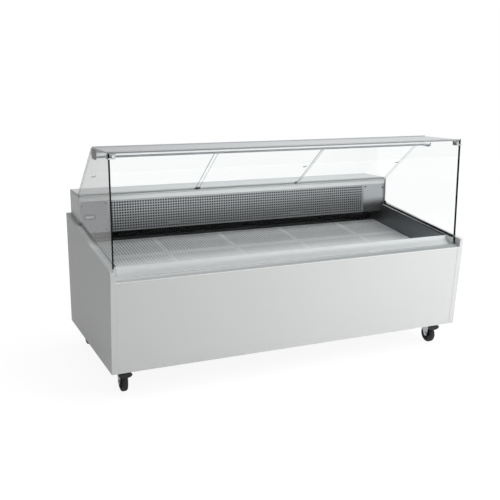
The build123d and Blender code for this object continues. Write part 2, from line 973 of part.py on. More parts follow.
def drain_pipe():
    top = tub_floor(drain_setback + drain_flange_radius) + drain_flange
    spigot_top = drain_reach + drain_spigot_length
    floor = tub_floor(drain_setback)
    pipe = rod(drain_spigot_radius, drain_x, drain_setback, (drain_reach, spigot_top))
    pipe += rod(drain_radius, drain_x, drain_setback, (spigot_top, floor))
    start = drain_setback - drain_flange_radius
    stop = drain_setback + drain_flange_radius
    ring = [
        (start, tub_floor(start)),
        (stop, tub_floor(stop)),
        (stop, tub_floor(stop) + drain_flange),
        (start, tub_floor(start) + drain_flange),
    ]
    pipe += bar(ring, drain_x - drain_flange_radius, drain_x + drain_flange_radius)
    return pipe - rod(drain_bore, drain_x, drain_setback, (drain_reach, top))


# Evaporator: finned coil, a plate with two fan openings, fan motors on arms, fan rotors
coil_front = box_front + coil_setback
fan_plate_front = box_front + fan_plate_setback
fan_plate_back = fan_plate_front + sheet


def evaporator_coil():
    top = coil_bottom + coil_height
    across = (-coil_half_length, coil_half_length)
    core = block(across, (coil_front, coil_front + coil_depth), (coil_bottom, top))
    span = (coil_half_length, coil_half_length + coil_plate)
    tall = (coil_bottom - coil_plate_margin, top + coil_plate_margin)
    for plate in both_sides(block(span, (coil_front, fan_plate_front), tall)):
        core += plate
    return core


def fan_plate():
    tub_top = tub_rim(fan_plate_back) + joint_gap
    wide = box_half - box_wall
    narrow = tub_half - seat_gap
    span = (fan_plate_front, fan_plate_back)
    plate = block((-wide, wide), span, (tub_top, box_top - sheet))
    plate += block((-narrow, narrow), span, (plate_line(fan_plate_back), tub_top))
    for x in (-fan_x, fan_x):
        plate -= rod(fan_radius + fan_ring_gap, x, span, fan_height)
    for x, z in ((suction_x, suction_height), (liquid_x, liquid_height)):
        plate -= rod(line_hole, x, span, z)
    return plate


fan_back = fan_plate_back + fan_start + fan_hub_length


def evaporator_fan_motor(x):
    motor_front = fan_back + fan_start
    motor = rod(fan_motor_radius, x, (motor_front, motor_front + fan_motor_length), fan_height)
    motor += rod(fan_shaft, x, (fan_plate_back + fan_start, motor_front), fan_height)
    ring = fan_radius + fan_ring_gap + fan_arm
    centre = (x, y_of(motor_front), fan_height)
    face = Plane(centre, x_dir=(1, 0, 0), z_dir=(0, 1, 0))
    arm = Pos(ring / 2, 0, fan_arm / 2) * Box(ring + fan_arm, fan_arm, fan_arm)
    reach = motor_front - fan_plate_back
    arm += Pos(ring, 0, -reach / 2) * Box(fan_arm, fan_arm, reach)
    for number in range(fan_arms):
        motor += face * (Rot(0, 0, number * 360 / fan_arms) * arm)
    return motor


def fan_rotor(radius, hub, hub_length, shaft):
    """A hub on the Z axis, from z = 0 to its length, with tilted blades."""
    rotor = Pos(0, 0, hub_length / 2) * Cylinder(hub, hub_length)
    reach = radius - hub / 2
    blade = Box(reach, fan_blade_chord, fan_blade_sheet)
    for number in range(fan_blades):
        turn = Rot(0, 0, number * 360 / fan_blades)
        rotor += turn * Pos(hub / 2 + reach / 2, 0, hub_length / 2) * Rot(fan_blade_tilt, 0, 0) * blade
    rotor &= Pos(0, 0, hub_length / 2) * Cylinder(radius, hub_length)
    return rotor - Pos(0, 0, hub_length / 2) * Cylinder(shaft + turning_gap, hub_length)


def evaporator_fan(x):
    place = Plane((x, y_of(fan_plate_back + fan_start), fan_height), x_dir=(1, 0, 0), z_dir=(0, 1, 0))
    return place * fan_rotor(fan_radius, fan_hub, fan_hub_length, fan_shaft)


# Condensing unit: finned coil with a shroud, fan motor on a foot, fan rotor, compressor, lines
condenser_back = rear - panel_thickness - condenser_rear_gap
condenser_front = condenser_back - condenser_depth
condenser_right = condenser_x + condenser_width
line_drop = (condenser_front + condenser_back) / 2
condenser_fan_x = condenser_x + condenser_width / 2
condenser_fan_z = base_top + condenser_fan_rise
shroud_back = condenser_front - shroud_gap
shroud_front = shroud_back - shroud_sheet
rotor_back = shroud_front - condenser_fan_gap
rotor_front = rotor_back - condenser_hub_length


def condenser_coil():
    span = (condenser_x, condenser_right)
    return block(span, (condenser_front, condenser_back), (base_top, base_top + condenser_height))


def condenser_shroud():
    span = (condenser_x, condenser_right)
    tall = (base_top, base_top + condenser_height)
    shroud = block(span, (shroud_front, condenser_front), tall)
    inside = (condenser_x + shroud_sheet, condenser_right - shroud_sheet)
    rim = (base_top + shroud_sheet, base_top + condenser_height - shroud_sheet)
    shroud -= block(inside, (shroud_back, condenser_front), rim)
    hole = condenser_fan_radius + fan_ring_gap
    return shroud - rod(hole, condenser_fan_x, (shroud_front, shroud_back), condenser_fan_z)


def condenser_fan_motor():
    front = rotor_front - condenser_fan_gap - condenser_motor_length
    back = rotor_front - condenser_fan_gap
    motor = rod(condenser_motor_radius, condenser_fan_x, (front, back), condenser_fan_z)
    motor += rod(condenser_shaft, condenser_fan_x, (back, rotor_back), condenser_fan_z)
    wide = (condenser_fan_x - motor_foot / 2, condenser_fan_x + motor_foot / 2)
    span = (front + condenser_fan_gap, back - condenser_fan_gap)
    return motor + block(wide, span, (base_top, condenser_fan_z))


def condenser_fan():
    place = Plane((condenser_fan_x, y_of(rotor_front), condenser_fan_z), x_dir=(1, 0, 0), z_dir=(0, 1, 0))
    return place * fan_rotor(condenser_fan_radius, condenser_hub, condenser_hub_length, condenser_shaft)


def compressor():
    foot_top = base_top + compressor_foot_height
    can_bottom = foot_top + compressor_base_sheet
    reach = compressor_base / 2
    x = compressor_x
    d = compressor_setback
    can = rod(compressor_radius, x, d, (can_bottom, can_bottom + compressor_height))
    can = fillet(can.edges().sort_by(Axis.Z)[-1], compressor_dome)
    unit = can + block((x - reach, x + reach), (d - reach, d + reach), (foot_top, can_bottom))
    for across in (-1, 1):
        for along in (-1, 1):
            foot_x = x + across * (reach - compressor_foot)
            foot = d + along * (reach - compressor_foot)
            unit += rod(compressor_foot, foot_x, foot, (base_top, foot_top))
    outer = compressor_radius + stub_length
    unit += rod(stub_radius, (x, x + outer), d, suction_low)
    unit += rod(stub_radius, (x - outer, x), d, discharge_low)
    return unit


def line(*points):
    """A tube along straight runs joined by arcs."""
    route = [(x, y_of(d), z) for x, d, z in points]
    path = FilletPolyline(*route, radius=line_bend)
    start = Plane(path @ 0, z_dir=path % 0)
    return sweep(start * Circle(line_radius), path=path)


def refrigerant_lines():
    coil_end = coil_half_length + coil_plate
    outer = compressor_radius + stub_length
    suction = line(
        (coil_end, line_setback, suction_height),
        (suction_x, line_setback, suction_height),
        (suction_x, line_drop, suction_height),
        (suction_x, line_drop, suction_low),
        (suction_x, compressor_setback, suction_low),
        (compressor_x + outer, compressor_setback, suction_low),
    )
    liquid = line(
        (coil_end, line_setback, liquid_height),
        (liquid_x, line_setback, liquid_height),
        (liquid_x, line_drop, liquid_height),
        (liquid_x, line_drop, liquid_low),
        (condenser_right, line_drop, liquid_low),
    )
    turn = (condenser_right + compressor_x - outer) / 2
    discharge = line(
        (compressor_x - outer, compressor_setback, discharge_low),
        (turn, compressor_setback, discharge_low),
        (turn, line_drop, discharge_low),
        (condenser_right, line_drop, discharge_low),
    )
    return [suction, liquid, discharge]


# Rear panel with openings for the louvre, the control box and the power gland
control_right = control_x + control_width
control_face = rear - control_inset


def rear_panel():
    reach = panel_inner - joint_gap
    span = (rear - panel_thickness, rear)
    lower = (panel_bottom, top_line(span[0]) - channel_drop - channel_height - joint_gap)
    panel = block((-reach, reach), span, lower)
    panel += block((-box_half, box_half), span, (lower[1], box_top))
    opening = louvre_width / 2 + seat_gap
    panel -= block(
        (-opening, opening), span, (louvre_bottom - seat_gap, louvre_bottom + louvre_height + seat_gap)
    )
    panel -= block(
        (control_x - seat_gap, control_right + seat_gap),
        span,
        (control_bottom - seat_gap, control_bottom + control_height + seat_gap),
    )
    return panel - rod(gland_radius + seat_gap, gland_x, span, gland_height)


def rear_louvre():
    reach = louvre_width / 2
    back = rear - louvre_inset
    span = (back - louvre_thickness, back)
    louvre = block((-reach, reach), span, (louvre_bottom, louvre_bottom + louvre_height))
    slots = int((louvre_height - 2 * louvre_margin) / louvre_pitch)
    first = louvre_bottom + (louvre_height - (slots - 1) * louvre_pitch - louvre_slot) / 2
    inner = reach - louvre_margin
    for number in range(slots):
        low = first + number * louvre_pitch
        louvre -= block((-inner, inner), span, (low, low + louvre_slot))
    return louvre


switch_names = ("main_switch", "lamp_switch")
switch_pivot_d = control_face - switch_pin - sheet
switch_pivot_z = control_bottom + control_height / 2


def switch_x(number):
    return control_right - switch_spacing * (number + 1) + switch_width / 2


def control_box():
    box = block(
        (control_x, control_right),
        (rear - panel_thickness - control_depth, control_face),
        (control_bottom, control_bottom + control_height),
    )
    inner = rear - panel_thickness
    box += block(
        (control_x - control_flange, control_right + control_flange),
        (inner - control_flange_sheet, inner),
        (control_bottom - control_flange, control_bottom + control_height + control_flange),
    )
    for number in range(len(switch_names)):
        x = switch_x(number)
        wide = switch_width / 2 + switch_gap
        tall = switch_height / 2 + switch_gap
        pocket_floor = switch_pivot_d - switch_depth - switch_gap
        mouth = (switch_pivot_z - tall, switch_pivot_z + tall)
        box -= block((x - wide, x + wide), (pocket_floor, control_face), mouth)
        pin = wide + switch_pin_length
        box -= rod(switch_pin + turning_gap, (x - pin, x + pin), switch_pivot_d, switch_pivot_z)
    return box


def rocker(number):
    x = switch_x(number)
    face = switch_pivot_d + switch_pin
    lean = (control_face - face) / 2
    outline = [
        (face - switch_depth / 2, switch_pivot_z - switch_height / 4),
        (face, switch_pivot_z - switch_height / 2 + switch_gap),
        (face + lean, switch_pivot_z),
        (face, switch_pivot_z + switch_height / 2 - switch_gap),
        (face - switch_depth / 2, switch_pivot_z + switch_height / 4),
    ]
    body = bar(outline, x - switch_width / 2, x + switch_width / 2)
    pin = switch_width / 2 + switch_gap + switch_pin_length - seat_gap
    body += rod(switch_pin, (x - pin, x + pin), switch_pivot_d, switch_pivot_z)
    pivot = Axis((x, y_of(switch_pivot_d), switch_pivot_z), (1, 0, 0))
    return body.rotate(pivot, -switch_tilt)


def power_gland():
    inner = rear - panel_thickness
    gland = rod(gland_radius, gland_x, (inner, rear), gland_height)
    gland += rod(gland_flange, gland_x, (rear - gland_length, inner), gland_height)
    return gland - rod(gland_bore, gland_x, (rear - gland_length, rear), gland_height)


os.makedirs("parts", exist_ok=True)

save("base_frame", base_frame())
save("left_end_panel", mirror(end_panel(), about=Plane.YZ))
save("right_end_panel", end_panel())
save("front_panel", front_panel())
save("rear_panel", rear_panel())
save("rear_louvre", rear_louvre())
save("front_sill", front_sill())
save("display_tub", *display_tub())
save("tub_insulation", tub_insulation())
save("glass_channels", *both_sides(glass_channel()))
save("plate_rails", *plate_rails())
save("drain_pipe", drain_pipe())
save("evaporator_housing", evaporator_housing())
save("rear_worktop", rear_worktop())
save("air_grille", air_grille())
save("grille_end_plates", *both_sides(grille_end_plate()))
save("grille_screws", *grille_screws())
save("temperature_display", temperature_display())
save("evaporator_coil", evaporator_coil())
save("fan_plate", fan_plate())
save("evaporator_fan_motors", evaporator_fan_motor(-fan_x), evaporator_fan_motor(fan_x))
save("evaporator_fan_left", evaporator_fan(-fan_x))
save("evaporator_fan_right", evaporator_fan(fan_x))
save("front_glass", front_pane())
save("left_side_glass", mirror(side_pane(), about=Plane.YZ))
save("right_side_glass", side_pane())
save("top_shelf", top_shelf())
save("glass_clamps", *[piece for shape in glass_clamp() for piece in both_sides(shape)])
save("lamp_holder", *lamp_holder())
save("lamp_tube", lamp_tube())
save("door_tracks", lower_track(), upper_track())

door_reach = track_half - seat_gap
left_pull = -door_reach + finger_hole_inset
right_pull = door_reach - right_hole_inset
middle_pull = middle_door_left + middle_door_width - finger_hole_inset
save("rear_door_left", rear_door(1, -door_reach, left_door_width, left_pull))
save("rear_door_middle", rear_door(0, middle_door_left, middle_door_width, middle_pull))
save("rear_door_right", rear_door(-1, door_reach - right_door_width, right_door_width, right_pull))

wide_plate = display_plate(0)
for number in range(plate_count - 1):
    moved = Pos(number * (plate_width + plate_joint), 0, 0) * wide_plate
    save(f"display_plate_{number + 1}", moved)
save(f"display_plate_{plate_count}", display_plate(plate_count - 1))

save("condenser_coil", condenser_coil())
save("condenser_shroud", condenser_shroud())
save("condenser_fan_motor", condenser_fan_motor())
save("condenser_fan", condenser_fan())
save("compressor", compressor())
save("refrigerant_lines", *refrigerant_lines())
save("control_box", control_box())
save("power_gland", power_gland())
for number, name in enumerate(switch_names):
    save(name, rocker(number))

stem_x = half - caster_inset
caster_places = {
    "front_left": (-stem_x, front_stem, -1),
    "front_right": (stem_x, front_stem, -1),
    "rear_left": (-stem_x, rear - rear_stem_inset, 1),
    "rear_right": (stem_x, rear - rear_stem_inset, 1),
}
save("caster_plates", *[caster_plate(x, stem) for x, stem, way in caster_places.values()])
for corner, place in caster_places.items():
    save(f"caster_fork_{corner}", *caster_fork(*place))
    save(f"caster_wheel_{corner}", caster_wheel(*place))
    if corner.startswith("front"):
        save(f"brake_pedal_{corner}", brake_pedal(*place))
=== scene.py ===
import bpy
import math
import numpy as np
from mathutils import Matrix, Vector


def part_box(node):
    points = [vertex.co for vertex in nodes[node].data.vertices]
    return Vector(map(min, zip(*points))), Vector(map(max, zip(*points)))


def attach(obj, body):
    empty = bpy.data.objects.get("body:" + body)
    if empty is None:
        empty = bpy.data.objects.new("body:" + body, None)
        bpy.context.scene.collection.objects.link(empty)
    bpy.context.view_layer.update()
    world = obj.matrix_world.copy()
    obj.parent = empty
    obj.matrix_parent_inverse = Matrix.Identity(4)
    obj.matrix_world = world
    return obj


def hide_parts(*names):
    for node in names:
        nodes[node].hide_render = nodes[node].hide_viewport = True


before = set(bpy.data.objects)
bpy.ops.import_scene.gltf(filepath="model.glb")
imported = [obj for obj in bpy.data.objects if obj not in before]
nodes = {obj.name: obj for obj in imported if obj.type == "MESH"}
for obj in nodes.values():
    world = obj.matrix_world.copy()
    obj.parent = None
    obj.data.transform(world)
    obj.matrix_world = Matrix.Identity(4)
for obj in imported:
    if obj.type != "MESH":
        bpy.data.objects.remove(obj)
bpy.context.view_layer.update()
mm = 0.001


# The studio: a white sweep with no horizon, soft light from the customer's right and above, a dimmer
# left side, and a strip of light along the case's own lamp. The camera stands to the left of the case,
# a little above its shelf.
def linear(code):
    """sRGB hex colour to linear red, green, blue and alpha, by the sRGB transfer curve."""
    srgb = np.array([int(code[i:i + 2], 16) for i in (1, 3, 5)]) / 255.0
    curve = np.where(srgb <= 0.04045, srgb / 12.92, ((srgb + 0.055) / 1.055) ** 2.4)
    return (*curve.tolist(), 1.0)


def add(tree, kind, inputs, **settings):
    """Adds a node, gives it its settings, links or sets each of its inputs, and returns its outputs."""
    made = tree.nodes.new(kind)
    for name, value in settings.items():
        setattr(made, name, value)
    for name, value in inputs.items():
        if isinstance(value, bpy.types.NodeSocket):
            tree.links.new(value, made.inputs[name])
        else:
            made.inputs[name].default_value = value
    return made.outputs


def new_finish(name):
    """An empty material, its node tree and the object coordinates that its patterns read."""
    finish = bpy.data.materials.new(name)
    finish.use_nodes = True
    tree = finish.node_tree
    tree.nodes.clear()
    return finish, tree, add(tree, "ShaderNodeTexCoord", {})["Object"]


def backdrop_share(tree, sideways, span, dim):
    """How much of the white backdrop a ray sees: all of it straight from the camera or through glass,
    a share that falls from one on the right to dim on the far left once it was mirrored, and none
    once it was scattered, so that the backdrop doesn't light the object."""
    ray = add(tree, "ShaderNodeLightPath", {})
    sees = add(tree, "ShaderNodeMath", {
        0: ray["Is Camera Ray"], 1: ray["Is Transmission Ray"],
    }, operation="MAXIMUM")[0]
    sees = add(tree, "ShaderNodeMath", {0: sees, 1: ray["Is Glossy Ray"]}, operation="MAXIMUM")[0]
    whole = add(tree, "ShaderNodeMath", {0: ray["Diffuse Depth"], 1: 0.5}, operation="LESS_THAN")[0]
    mirrored = add(tree, "ShaderNodeMath", {0: ray["Glossy Depth"], 1: 0.5}, operation="GREATER_THAN")[0]
    share = add(tree, "ShaderNodeMapRange", {
        "Value": sideways, "From Min": span[0], "From Max": span[1], "To Min": dim, "To Max": 1.0,
    }, interpolation_type="SMOOTHSTEP")[0]
    part = add(tree, "ShaderNodeMix", {0: mirrored, 2: 1.0, 3: share})[0]
    open_part = add(tree, "ShaderNodeMath", {0: whole, 1: part}, operation="MULTIPLY")[0]
    return add(tree, "ShaderNodeMath", {0: sees, 1: open_part}, operation="MULTIPLY")[0]


white = linear("#ffffff")
sky_left = 0.26
sky_right = 0.50
mirror_dim = 0.12
world = bpy.data.worlds.new("studio")
bpy.context.scene.world = world
world.use_nodes = True
sky = world.node_tree
sky.nodes.clear()
heading = add(sky, "ShaderNodeTexCoord", {})["Generated"]
sideways = add(sky, "ShaderNodeSeparateXYZ", {"Vector": heading})["X"]
level = add(sky, "ShaderNodeMapRange", {
    "Value": sideways, "From Min": -1.0, "From Max": 1.0, "To Min": sky_left, "To Max": sky_right,
}, interpolation_type="SMOOTHSTEP")[0]
lit = add(sky, "ShaderNodeBackground", {"Color": white, "Strength": level})
seen = add(sky, "ShaderNodeBackground", {"Color": white, "Strength": 1.0})
bright_way = (1.0, -0.25, -0.35)
bright_side = add(sky, "ShaderNodeVectorMath", {0: heading, 1: bright_way}, operation="DOT_PRODUCT")
share = backdrop_share(sky, bright_side["Value"], (-0.5, 0.3), mirror_dim)
sky_mix = add(sky, "ShaderNodeMixShader", {0: share, 1: lit[0], 2: seen[0]})
add(sky, "ShaderNodeOutputWorld", {"Surface": sky_mix[0]})

floor_reach = 9.0
floor_near = 0.91
floor_far = 0.95
bpy.ops.mesh.primitive_plane_add(size=2 * floor_reach)
floor = bpy.context.object
floor.name = "floor"
floor_paint, tree, place = new_finish("white_floor")
away = add(tree, "ShaderNodeVectorMath", {0: place}, operation="LENGTH")["Value"]
glow = add(tree, "ShaderNodeMapRange", {
    "Value": away, "From Min": 1.5, "From Max": 4.0, "To Min": floor_near, "To Max": floor_far,
}, interpolation_type="SMOOTHSTEP")[0]
across = add(tree, "ShaderNodeSeparateXYZ", {"Vector": place})["X"]
share = backdrop_share(tree, across, (-3.0, 2.0), mirror_dim)
strength = add(tree, "ShaderNodeMath", {0: share, 1: glow}, operation="MULTIPLY")[0]
paint = add(tree, "ShaderNodeMix", {
    0: share, 6: linear("#e6e6e6"), 7: linear("#6c6c6c"),
}, data_type="RGBA")[2]
matt = add(tree, "ShaderNodeBsdfPrincipled", {
    "Base Color": paint, "Roughness": 0.9, "Specular IOR Level": 0.1,
    "Emission Color": white, "Emission Strength": strength,
})
add(tree, "ShaderNodeOutputMaterial", {"Surface": matt[0]})
floor.data.materials.append(floor_paint)


def softbox(name, place, aim, size, power, mirrored):
    """An area lamp as long and as wide as size, that looks from its place to its aim. Glass never shows
    it, and metal only where mirrored is true."""
    lamp = bpy.data.lights.new(name, "AREA")
    lamp.shape = "RECTANGLE"
    lamp.size, lamp.size_y = size
    lamp.energy = power
    holder = bpy.data.objects.new(name, lamp)
    holder.location = place
    way = Vector(aim) - Vector(place)
    holder.rotation_euler = way.to_track_quat("-Z", "Y").to_euler()
    holder.visible_glossy = mirrored
    holder.visible_transmission = False
    holder.visible_camera = False
    bpy.context.scene.collection.objects.link(holder)


softbox("right_softbox", (2.1, -2.9, 2.1), (0.7, 0.0, 0.5), (2.2, 2.2), 72.0, False)
softbox("top_softbox", (0.8, -0.4, 4.4), (0.0, 0.0, 0.6), (3.0, 3.0), 75.0, True)
softbox("case_lamp_light", (0.0, -0.17, 1.095), (0.0, 0.45, 0.75), (1.9, 0.04), 5.0, False)

lens_mm = 55.17
camera_place = (-1.797878, -3.841444, 1.489635)
camera_yaw = 24.068
camera_pitch = 12.301
camera = bpy.data.cameras.new("camera")
camera.lens = lens_mm
camera.sensor_width = 36.0
viewer = bpy.data.objects.new("camera", camera)
viewer.location = camera_place
viewer.rotation_euler = (math.radians(90.0 - camera_pitch), 0.0, math.radians(-camera_yaw))
bpy.context.scene.collection.objects.link(viewer)
bpy.context.scene.camera = viewer
bpy.context.scene.view_settings.view_transform = "Standard"


# Base frame: a tray and two box tubes of hot-dip galvanised steel, bolted between the end panels.
# Zinc freezes in large flat crystals, so its grey changes in patches about a thumb wide.
def coat(tree, pattern, colours, rough, sockets, bump=None, shades=None):
    """The shader of a finish: a pattern from zero to one takes it from its first to its second colour and
    roughness, and bump gives the strength and height with which it also raises the surface. Where the
    colours follow another pattern, shades is that one."""
    sockets["Base Color"] = add(tree, "ShaderNodeMix", {
        0: shades or pattern, 6: linear(colours[0]), 7: linear(colours[1]),
    }, data_type="RGBA")[2]
    sockets["Roughness"] = add(tree, "ShaderNodeMapRange", {
        "Value": pattern, "To Min": rough[0], "To Max": rough[1],
    })[0]
    if bump:
        sockets["Normal"] = add(tree, "ShaderNodeBump", {
            "Height": pattern, "Strength": bump[0], "Distance": bump[1],
        })[0]
    body = add(tree, "ShaderNodeBsdfPrincipled", sockets)
    add(tree, "ShaderNodeOutputMaterial", {"Surface": body[0]})


def dress(finish, *names):
    """Gives CAD nodes a finish in place of their plain one."""
    for name in names:
        for slot in nodes[name].material_slots:
            slot.material = finish


def box_of(node):
    """Lowest and highest corner of a CAD node as arrays."""
    return (np.array(end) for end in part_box(node))


spangle = 14 * mm
galvanised, tree, place = new_finish("galvanised_steel")
patch = add(tree, "ShaderNodeTexVoronoi", {"Vector": place, "Scale": 1 / spangle})["Distance"]
coat(tree, patch, ("#8f9496", "#b4b8ba"), (0.36, 0.55), {"Metallic": 1.0})
dress(galvanised, "base_frame", "condenser_shroud")


# Casters: pressed steel forks and plates, zinc plated and bright, on king pins with a hex nut.
# Each plate is held to the base frame by four hex bolts.
def metal(name, dark, light, grain, rough):
    """Metal with a cloudy grain: noise of a real size varies its grey and its roughness."""
    finish, tree, place = new_finish(name)
    cloud = add(tree, "ShaderNodeTexNoise", {"Vector": place, "Scale": 1 / grain, "Detail": 3.0})["Fac"]
    coat(tree, cloud, (dark, light), (rough * 0.8, rough * 1.2), {"Metallic": 1.0})
    return finish


def closed_skin(rings, loop=False):
    """Vertices and faces of a skin over rings (count x points x 3): quads between neighbouring rings
    and a flat face over each end, or with loop the last ring joined to the first. The sign of the
    enclosed volume tells which way it faces, and an inside-out skin is turned round."""
    count, points = rings.shape[:2]
    index = np.arange(count * points).reshape(count, points)
    after = np.roll(index, -1, axis=0) if loop else index[1:]
    before = index if loop else index[:-1]
    quads = np.stack(
        [before, np.roll(before, -1, axis=1), np.roll(after, -1, axis=1), after], axis=-1
    ).reshape(-1, 4)
    verts = rings.reshape(-1, 3)
    faces = quads.tolist()
    if not loop:
        faces += [index[0][::-1].tolist(), index[-1].tolist()]
    triangles = np.array([(face[0], *pair) for face in faces for pair in zip(face[1:], face[2:])])
    first, second, third = (verts - verts.mean(axis=0))[triangles.T]
    if (first * np.cross(second, third)).sum() < 0:
        faces = [face[::-1] for face in faces]
    return verts, faces


def piece(name, skins, finish, sharp=40.0, body="cabinet"):
    """One object made of skins, shaded smooth up to an angle, that rides on a body."""
    verts = np.concatenate([skin[0] for skin in skins])
    starts = np.cumsum([0] + [len(skin[0]) for skin in skins[:-1]])
    faces = [[v + int(start) for v in face] for start, skin in zip(starts, skins) for face in skin[1]]
    mesh = bpy.data.meshes.new(name)
    mesh.from_pydata(verts.tolist(), [], faces)
    mesh.shade_smooth()
    mesh.set_sharp_from_angle(angle=math.radians(sharp))
    mesh.materials.append(finish)
    made = bpy.data.objects.new(name, mesh)
    bpy.context.scene.collection.objects.link(made)
    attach(made, body)
    return made


axes = {"x": (1, 2, 0), "y": (0, 2, 1), "z": (0, 1, 2)}


def arc(start, end, count):
    """Points at even steps along a circle of radius one, from one angle to another."""
    angle = np.linspace(start, end, count)
    return np.stack([np.cos(angle), np.sin(angle)], axis=1)


def turned(profile, centre, axis, steps=48, loop=False):
    """A lathe shape: each (radius, along) of the profile becomes a circle about an axis line."""
    profile = np.asarray(profile, dtype=float)
    first, second, along = axes[axis]
    rings = np.zeros((len(profile), steps, 3))
    rings[:, :, (first, second)] = profile[:, :1, None] * arc(0.0, 2.0 * math.pi, steps + 1)[:-1]
    rings[:, :, along] = profile[:, 1:]
    return closed_skin(rings + np.asarray(centre), loop)


def hex_head(across, height, centre, axis):
    """A hex head: a six-sided prism whose outer end is drawn in to a chamfer."""
    radius = across / math.sqrt(3)
    chamfer = abs(height) * 0.25
    step = math.copysign(chamfer, height)
    profile = [(radius, 0.0), (radius, height - step), (radius - chamfer, height)]
    return turned(profile, centre, axis, steps=6)


zinc = metal("zinc_plate", "#a3a8ac", "#c6cacd", 22 * mm, 0.28)
corners = ("front_left", "front_right", "rear_left", "rear_right")
dress(zinc, "caster_plates", *[f"caster_fork_{corner}" for corner in corners])
plate_low, plate_high = box_of("caster_plates")
plate_size = 80 * mm
bolt_inset = 11 * mm
bolt_drop = 4 * mm
bolt_head = 10 * mm
bolt_head_height = 5.5 * mm
king_nut = 21 * mm
king_nut_top = 5.4 * mm
bolts = []
for x in (plate_low[0], plate_high[0] - plate_size):
    for y in (plate_low[1], plate_high[1] - plate_size):
        for aside in (bolt_inset, plate_size - bolt_inset):
            for behind in (bolt_inset, plate_size - bolt_inset):
                under = (x + aside, y + behind, plate_high[2] - bolt_drop)
                bolts.append(hex_head(bolt_head, -bolt_head_height, under, "z"))
        middle = (x + plate_size / 2, y + plate_size / 2, plate_low[2] + king_nut_top)
        bolts.append(hex_head(king_nut, -king_nut_top - 0.2 * mm, middle, "z"))
piece("caster_bolts", bolts, zinc)

axle_nut = 17.2 * mm
axle_nut_height = 4.4 * mm
cheek_face = 20 * mm
for corner in corners:
    low, high = box_of(f"caster_wheel_{corner}")
    centre = (low + high) / 2
    nuts = [
        hex_head(axle_nut, way * axle_nut_height, centre + (way * cheek_face, 0, 0), "x") for way in (-1, 1)
    ]
    piece(f"axle_nuts_{corner}", nuts, zinc, body=f"caster_fork_{corner}")


# Caster wheels: a solid rubber tyre moulded on a nylon wheel centre with five ribs, all black.
# They run on the axle of the fork. The rubber is matt, the nylon a little glossier.
def moulded(name, colours, rough, grain, depth, gloss=0.5, glow=0.0):
    """Moulded plastic or rubber: two near shades, with a fine texture from the mould in its bump, and
    for a lamp a glow of its own."""
    finish, tree, place = new_finish(name)
    grit = add(tree, "ShaderNodeTexNoise", {"Vector": place, "Scale": 1 / grain, "Detail": 2.0})["Fac"]
    coat(tree, grit, colours, (rough * 0.85, min(rough * 1.15, 1.0)), {
        "IOR": 1.5, "Specular IOR Level": gloss,
        "Emission Color": linear(colours[1]), "Emission Strength": glow,
    }, (0.4, depth))
    return finish


rubber = moulded("black_rubber", ("#1d1d1d", "#2a2a2a"), 0.62, 3 * mm, 0.2 * mm)
nylon = moulded("black_nylon", ("#17181a", "#212224"), 0.42, 2 * mm, 0.1 * mm)
tyre_inner = 36 * mm
tyre_lip = 2 * mm
tread_round = 9 * mm
hub_radius = 12 * mm
axle_clear = 5.05 * mm
web_half = 5 * mm
web_reach = tyre_inner - 5 * mm
rim_inner = tyre_inner - 4 * mm
rim_outer = tyre_inner - 0.3 * mm
rib_count = 5
rib_half = 1.5 * mm
for corner in corners:
    body = f"caster_wheel_{corner}"
    low, high = box_of(body)
    centre = (low + high) / 2
    radius = (high[2] - low[2]) / 2
    half_wide = (high[0] - low[0]) / 2
    right = arc(math.pi / 2, 0.0, 7) * tread_round + (radius - tread_round, half_wide - tread_round)
    left = right[::-1] * (1, -1)
    inner = [(tyre_inner, -half_wide + tyre_lip), (tyre_inner, half_wide - tyre_lip)]
    tyre_profile = np.concatenate([inner, right, left])
    tyre = piece(f"tyre_{corner}", [turned(tyre_profile, centre, "x", 72, True)], rubber, 30, body)
    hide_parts(body)
    barrel = half_wide - 1 * mm
    rim_half = half_wide - 3 * mm
    half_profile = [
        (axle_clear, barrel), (hub_radius, barrel), (hub_radius, web_half), (web_reach, web_half),
        (rim_inner, rim_half), (rim_outer, rim_half),
    ]
    centre_profile = [(reach, -along) for reach, along in half_profile] + half_profile[::-1]
    skins = [turned(centre_profile, centre, "x", 48, True)]
    for number in range(rib_count):
        angle = 2 * math.pi * number / rib_count
        spoke = np.array([0.0, math.cos(angle), math.sin(angle)])
        side = np.array([0.0, -math.sin(angle), math.cos(angle)]) * rib_half
        deep = np.array([half_wide - 4 * mm, 0.0, 0.0])
        square = [deep + side, deep - side, -deep - side, -deep + side]
        ends = [centre + spoke * (hub_radius - 1 * mm), centre + spoke * (rim_inner - 0.2 * mm)]
        skins.append(closed_skin(np.array([[end + point for point in square] for end in ends])))
    piece(f"wheel_centre_{corner}", skins, nylon, 30, body)


# Brake pedals: black nylon levers on the front casters, pivoted between the fork's cheeks, with an
# oval foot pad in front of the wheel.
dress(nylon, "brake_pedal_front_left", "brake_pedal_front_right")


# End, front and rear panels: sheet steel over foam, powder coated in light grey. The film is satin
# and even. Its fine orange peel only softens what it mirrors, and is drawn a little coarser than real.
ripple = 4 * mm
cloud_size = 700 * mm
grey_coat, tree, place = new_finish("light_grey_powder_coat")
peel = add(tree, "ShaderNodeTexNoise", {"Vector": place, "Scale": 1 / ripple, "Detail": 1.0})["Fac"]
cloud = add(tree, "ShaderNodeTexNoise", {"Vector": place, "Scale": 1 / cloud_size})["Fac"]
coat(tree, peel, ("#d9dbda", "#dddfde"), (0.44, 0.52), {"IOR": 1.5}, (0.15, 0.05 * mm), cloud)
dress(grey_coat, "left_end_panel", "right_end_panel", "front_panel", "rear_panel", "rear_louvre")


# Tub, rails and display plates: stainless sheet with a dull mill finish, welded into a deep liner.
# The plates lie loose on the rails. Their colour holds painted light, lighter on the rear strip under
# the box and towards the front, and dark rings of painted shade round their holes.
along_case = (60.0, 1.0, 1.0)


